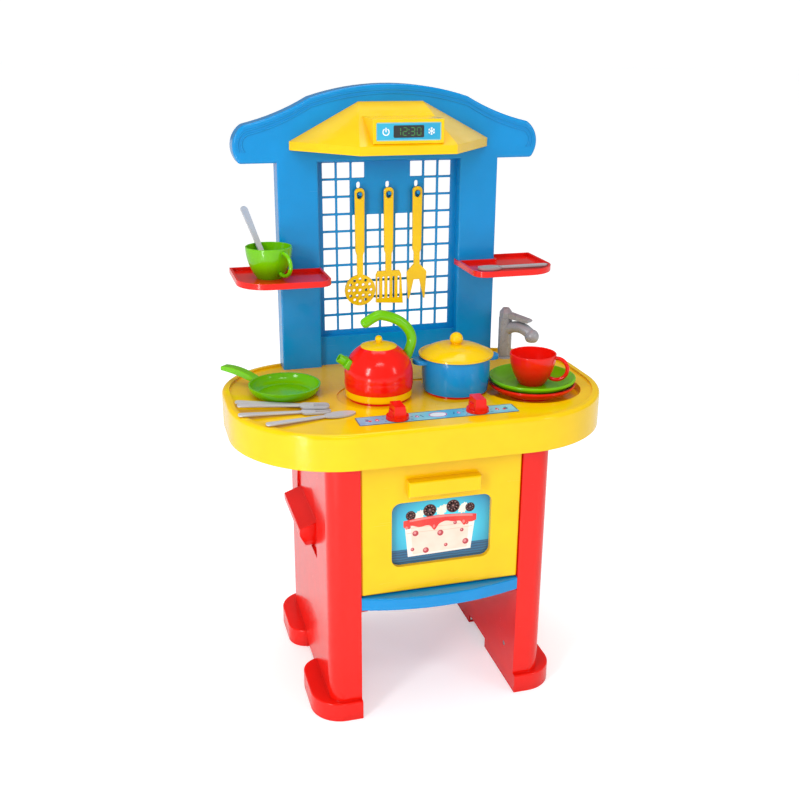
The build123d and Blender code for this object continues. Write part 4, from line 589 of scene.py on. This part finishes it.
def layCake(mesh, ink):
    left, right, top, base = cake["left"], cake["right"], cake["top"], cake["base"]
    baseLeft, baseRight, slant = cake["baseLeft"], cake["baseRight"], cake["slant"]
    slip(mesh, [(left, top), (baseLeft, base), (baseRight, base + slant), (right, top)],
         cakeLevels["side"], ink["sponge"])
    slip(mesh, [(left, top), (baseLeft, base), (baseLeft + 6.0, base + 0.1), (left + 7.5, top)],
         cakeLevels["edge"], ink["spongePale"])
    slip(mesh, [(right - 7.0, top), (baseRight - 5.0, base + 1.4), (baseRight, base + slant), (right, top)],
         cakeLevels["edge"], ink["spongePale"])
    slip(mesh, [(baseLeft - 0.3, base + 2.2), (baseLeft, base), (baseRight, base + slant),
                (baseRight + 0.3, base + 4.0)], cakeLevels["foot"], ink["spongePale"])
    for height, rise in cake["crumbLines"]:
        upper = [(left + 3.5 + i * 8.0, height + rise * math.sin(i * 0.7)) for i in range(11)]
        lower = [(x, y - 0.8) for x, y in reversed(upper)]
        slip(mesh, upper + lower, cakeLevels["crumb"], ink["layer"])


def layCream(mesh, ink):
    points = 18
    for x, y, size in cake["peaks"]:
        star = []
        for i in range(points):
            reach = size * (1.0 if i % 2 else 0.72)
            angle = math.tau * i / points
            star.append((x + reach * math.cos(angle), y + reach * math.sin(angle)))
        slip(mesh, star, cakeLevels["cream"] + 0.002 * size, ink["cream"])


def layBerries(mesh, ink):
    beads = 9
    for x, y, size in cake["berries"]:
        slip(mesh, circlePoints(x, y, size * 0.98, 22), cakeLevels["berry"], ink["berry"])
        for i in range(beads):
            angle = math.tau * i / beads + 0.3
            bead = (x + 0.62 * size * math.cos(angle), y + 0.62 * size * math.sin(angle))
            slip(mesh, circlePoints(*bead, size * 0.36, 12), cakeLevels["bead"], ink["berry"])
            shine = (bead[0] - 0.08 * size, bead[1] + 0.10 * size)
            slip(mesh, circlePoints(*shine, size * 0.10, 8), cakeLevels["beadShine"], ink["berryShine"])
        slip(mesh, circlePoints(x, y + 0.1 * size, size * 0.13, 10), cakeLevels["beadShine"],
             ink["berryShine"])


# icing with its drips, and the shine along it
def layIcing(mesh, ink):
    left, right, steps = cake["left"], cake["right"], cake["icingSteps"]
    xs = [left - 1.2 + (right - left + 2.4) * i / steps for i in range(steps + 1)]
    slip(mesh, [(x, icingTop(x)) for x in xs] + [(x, icingEdge(x)) for x in reversed(xs)],
         cakeLevels["icing"], ink["icing"])
    shine = [x for x in xs if left + 6 < x < right - 3]
    slip(mesh, [(x, icingTop(x) - 0.7) for x in shine] + [(x, icingTop(x) - 3.0) for x in reversed(shine)],
         cakeLevels["icingShine"], ink["icingShine"])
    for x, y in cake["dripShine"]:
        slip(mesh, circlePoints(x - 0.5, y + 1.4, 1.5, 14, 1.4), cakeLevels["icingShine"], ink["icingShine"])


def layCherries(mesh, ink):
    for x, y, size in cake["cherries"]:
        slip(mesh, circlePoints(x, y, size, 20), cakeLevels["cherry"], ink["cherry"])
        slip(mesh, circlePoints(x - 0.22 * size, y + 0.2 * size, size * 0.5, 14),
             cakeLevels["cherryShine"], ink["cherryShine"])


def buildDoorPrint():
    mesh = bmesh.new()
    ink = {name: i for i, name in enumerate(cakeInks)}
    for lay in (layCake, layCream, layBerries, layIcing, layCherries):
        lay(mesh, ink)
    layOn(mesh, "door_picture", True)
    piece = makePiece("ovenCakePrint", mesh, [inks[name] for name in cakeInks])
    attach(piece, "oven_door")


digitBars = {  # a top, b upper right, c lower right, d bottom, e lower left, f upper left, g middle
    "0": "abcdef", "1": "bc", "2": "abged", "3": "abgcd", "4": "fgbc", "5": "afgcd",
    "6": "afgedc", "7": "abc", "8": "abcdefg", "9": "abcdfg",
}
clock = {"window": (37.0, 14.0), "windowCorner": 1.6, "reading": "1230", "digitWidth": 4.6,
         "digitHeight": 8.6, "pitch": 7.6, "colonGap": 0.9, "bar": 1.0, "iconPlace": 27.5, "iconRadius": 4.3,
         "powerStroke": 1.3, "starStroke": 1.0, "twigStroke": 0.8,
         "glass": 0.03, "marks": 0.05, "twigs": 0.07}


def layDigits(mesh):
    w, h, bar = clock["digitWidth"] / 2, clock["digitHeight"] / 2, clock["bar"]
    corners = {"a": ((-w, h), (w, h)), "b": ((w, h), (w, 0)), "c": ((w, 0), (w, -h)),
               "d": ((-w, -h), (w, -h)), "e": ((-w, 0), (-w, -h)), "f": ((-w, h), (-w, 0)),
               "g": ((-w, 0), (w, 0))}
    for i, digit in enumerate(clock["reading"]):
        x = (i - 1.5) * clock["pitch"] + (clock["colonGap"] if i > 1 else -clock["colonGap"])
        for name in digitBars[digit]:
            (x0, y0), (x1, y1) = corners[name]
            shift = Vector((x1 - x0, y1 - y0)).normalized() * 0.5 * bar
            barSlip(mesh, (x + x0 + shift.x, y0 + shift.y), (x + x1 - shift.x, y1 - shift.y), bar,
                    clock["marks"], 2)
    for y in (-2.0, 2.0):
        slip(mesh, circlePoints(0, y, 0.7, 12), clock["marks"], 2)


# power mark on the left, snow star on the right
def layIcons(mesh):
    place, radius, level = clock["iconPlace"], clock["iconRadius"], clock["marks"]
    stroke = clock["powerStroke"]
    ringSlip(mesh, -place, -0.3, radius, radius - stroke, level, 0, 0.33, 1.17)
    barSlip(mesh, (-place, -0.5), (-place, 4.6), stroke, level, 0)
    for i in range(6):
        angle = math.tau * i / 6 + math.pi / 6
        tip = (place + radius * math.cos(angle), radius * math.sin(angle))
        barSlip(mesh, (place, 0), tip, clock["starStroke"], level + 0.003 * i, 0)
        for lean in (-0.7, 0.7):
            root = (place + 0.55 * radius * math.cos(angle), 0.55 * radius * math.sin(angle))
            twig = (root[0] + 0.42 * radius * math.cos(angle + lean),
                    root[1] + 0.42 * radius * math.sin(angle + lean))
            barSlip(mesh, root, twig, clock["twigStroke"], clock["twigs"] + 0.003 * i, 0)


def buildClockPrint():
    mesh = bmesh.new()
    slip(mesh, roundedBox(0, 0, *clock["window"], clock["windowCorner"]), clock["glass"], 1)
    layDigits(mesh)
    layIcons(mesh)
    layOn(mesh, "display_sticker", True)
    piece = makePiece("clockPrint", mesh, [inks["white"], inks["night"], inks["lamp"]])
    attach(piece, "carcass")


# places are from the strip's middle, and those of the marks from a knob's
strip = {"knobPlace": 48.0, "dialRadius": 15.6, "dialTicks": 9, "dialStart": 205, "dialSweep": 230,
         "tickLength": 2.8, "tickWidth": 0.9, "inkReach": 17.2, "cardHalf": 12.0,
         "badge": (22.0, 15.0), "badgeBorder": 1.3, "outerDrop": 24.0, "innerDrop": 23.0,
         "fruit": 35.0, "bar": (30.0, 27.5, 3.5), "first": 0.03, "leaf": 0.045, "second": 0.05}
stripInks = ["white", "pink", "navy", "rose", "lamp"]


def dropPoints(x, width=3.0, height=3.4, steps=24):
    points = []
    for i in range(steps):
        t = math.tau * i / steps
        upper = 1 - 0.55 * t / math.pi
        lower = 0.45 + 0.55 * (t - math.pi) / math.pi
        points.append((x + width * math.sin(t) * (upper if t < math.pi else lower), -height * math.cos(t)))
    return points


# dial marks that fan round a knob, kept on the card
def layDial(mesh, middle, ink):
    inner, ticks = strip["dialRadius"], strip["dialTicks"]
    outer = inner + strip["tickLength"]
    for i in range(ticks):
        angle = math.radians(strip["dialStart"] - strip["dialSweep"] * i / (ticks - 1))
        if abs(strip["inkReach"] * math.sin(angle)) < strip["cardHalf"]:
            start = (middle + inner * math.cos(angle), inner * math.sin(angle))
            end = (middle + outer * math.cos(angle), outer * math.sin(angle))
            barSlip(mesh, start, end, strip["tickWidth"], strip["first"], ink["navy"])


def buildControlPrint():
    mesh = bmesh.new()
    ink = {name: i for i, name in enumerate(stripInks)}
    first, second = strip["first"], strip["second"]
    # oval badge in the middle
    wide, tall = strip["badge"]
    border = strip["badgeBorder"]
    slip(mesh, circlePoints(0, 0, wide / 2, 36, tall / wide), first, ink["pink"])
    slip(mesh, circlePoints(0, 0, wide / 2 - border, 36, (tall - 2 * border) / (wide - 2 * border)),
         second, ink["white"])
    for side in (-1, 1):
        middle = side * strip["knobPlace"]
        layDial(mesh, middle, ink)
        # drop marks on both sides of each knob
        for away, tone in ((strip["outerDrop"], "rose"), (-strip["innerDrop"], "pink")):
            x = middle + side * away
            slip(mesh, dropPoints(x), first, ink[tone])
            slip(mesh, circlePoints(x, -1.1, 1.2, 14), second, ink["white"])
        # fruit mark at the strip's end, and a bar towards its middle
        x = middle + side * strip["fruit"]
        slip(mesh, circlePoints(x, 0.4, 2.5, 18), first, ink["navy"])
        slip(mesh, circlePoints(x - side * 2.6, -1.6, 2.1, 18), strip["leaf"], ink["rose"])
        barSlip(mesh, (x - side * 2.0, 3.6), (x + side * 2.0, 5.4), 0.9, first, ink["lamp"])
        foot, head, tallHalf = strip["bar"]
        barSlip(mesh, (middle - side * foot, -tallHalf), (middle - side * head, tallHalf), 1.0, first,
                ink["navy"])
    layOn(mesh, "control_strip", False)
    piece = makePiece("controlPrint", mesh, [inks[name] for name in stripInks])
    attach(piece, "carcass")


buildDoorPrint()
buildClockPrint()
buildControlPrint()
print("stickers printed")


# floor, light and camera

floorLook = {"radius": 40.0, "dark": (0.90, 0.90, 0.90), "light": (0.94, 0.94, 0.94), "lift": 0.38}


def buildFloor():
    mesh = bmesh.new()
    bmesh.ops.create_circle(mesh, cap_ends=True, radius=floorLook["radius"], segments=96)
    material, tree = newMaterial("paleFloor")
    where = addNode(tree, "ShaderNodeTexCoord", (-500, 0)).outputs["Object"]
    tone = noiseNode(tree, where, 1.2, 3.0, (-300, 0))
    colour = mixColour(tree, tone, (*floorLook["dark"], 1), (*floorLook["light"], 1), (-80, 0))
    shader = addNode(tree, "ShaderNodeBsdfPrincipled", (150, 0))
    setInput(shader, "Roughness", 0.7)
    setInput(shader, "Specular IOR Level", 0.15)
    tree.links.new(colour, shader.inputs["Base Color"])
    # lifts the floor towards white for the camera alone
    ray = addNode(tree, "ShaderNodeLightPath", (-300, -300))
    glow = mathNode(tree, "MULTIPLY", ray.outputs["Is Camera Ray"], floorLook["lift"], (-80, -300))
    setInput(shader, "Emission Color", (1, 1, 1, 1))
    tree.links.new(glow, shader.inputs["Emission Strength"])
    finishMaterial(tree, shader, 450)
    floor = makePiece("floor", mesh, [material])


softboxes = {  # place, aim, width, height, power
    "leftBox": ((-1.9, -1.5, 1.25), (0.0, -0.05, 0.40), 0.45, 1.0, 19.0),
    "rightBox": ((1.7, -1.9, 1.30), (0.05, -0.05, 0.40), 0.3, 0.9, 6.0),
    "frontBox": ((-0.3, -1.6, 2.3), (0.0, 0.0, 0.45), 0.9, 0.4, 6.0),
    "topBox": ((0.1, 0.5, 2.4), (0.0, 0.0, 0.40), 1.2, 0.9, 8.0),
    "lowBox": ((-0.86, -0.80, 0.10), (-0.15, -0.10, 0.34), 0.14, 0.40, 2.0),
}
room = {"colour": (0.99, 0.995, 1.0), "lighting": 0.74, "backdrop": 1.10, "reflected": 0.18}


def buildLights():
    for name, (place, aim, width, height, power) in softboxes.items():
        lamp = bpy.data.lights.new(name, "AREA")
        lamp.shape = "RECTANGLE"
        lamp.size = width
        lamp.size_y = height
        lamp.energy = power
        holder = bpy.data.objects.new(name, lamp)
        holder.location = place
        holder.rotation_euler = (Vector(aim) - Vector(place)).to_track_quat("-Z", "Y").to_euler()
        bpy.context.scene.collection.objects.link(holder)
    world = bpy.data.worlds.new("paleRoom")
    world.use_nodes = True
    tree = world.node_tree
    back = tree.nodes["Background"]
    setInput(back, "Color", (*room["colour"], 1))
    # white behind the object, darker where the gloss mirrors it
    ray = addNode(tree, "ShaderNodeLightPath", (-700, 0))
    seenGain = room["backdrop"] - room["lighting"]
    glossGain = room["reflected"] - room["lighting"]
    seen = mathNode(tree, "MULTIPLY", ray.outputs["Is Camera Ray"], seenGain, (-500, 0))
    glossed = mathNode(tree, "MULTIPLY", ray.outputs["Is Glossy Ray"], glossGain, (-500, -200))
    both = mathNode(tree, "ADD", seen, glossed, (-300, 0))
    level = mathNode(tree, "ADD", both, room["lighting"], (-150, 0))
    tree.links.new(level, back.inputs["Strength"])
    bpy.context.scene.world = world


# turn, dip and tilt in degrees, lens and sensor in millimetres
viewpoint = {"place": (-0.3371, -1.1307, 0.7750), "turn": 15.82, "dip": 19.56, "tilt": 0.36,
             "lens": 45.45, "sensor": 36.0}


def buildCamera():
    turn, dip, tilt = (math.radians(viewpoint[key]) for key in ("turn", "dip", "tilt"))
    ahead = Vector((math.sin(turn) * math.cos(dip), math.cos(turn) * math.cos(dip), -math.sin(dip)))
    right = Vector((math.cos(turn), -math.sin(turn), 0))
    up = right.cross(ahead)
    tilted = right * math.cos(tilt) + up * math.sin(tilt)
    upright = up * math.cos(tilt) - right * math.sin(tilt)
    data = bpy.data.cameras.new("studioCamera")
    data.lens = viewpoint["lens"]
    data.sensor_width = viewpoint["sensor"]
    camera = bpy.data.objects.new("studioCamera", data)
    basis = Matrix((tilted, upright, -ahead)).transposed().to_4x4()
    camera.matrix_world = Matrix.Translation(viewpoint["place"]) @ basis
    bpy.context.scene.collection.objects.link(camera)
    bpy.context.scene.camera = camera


buildFloor()
buildLights()
buildCamera()
bpy.context.scene.view_settings.view_transform = "Standard"
print("studio ready")
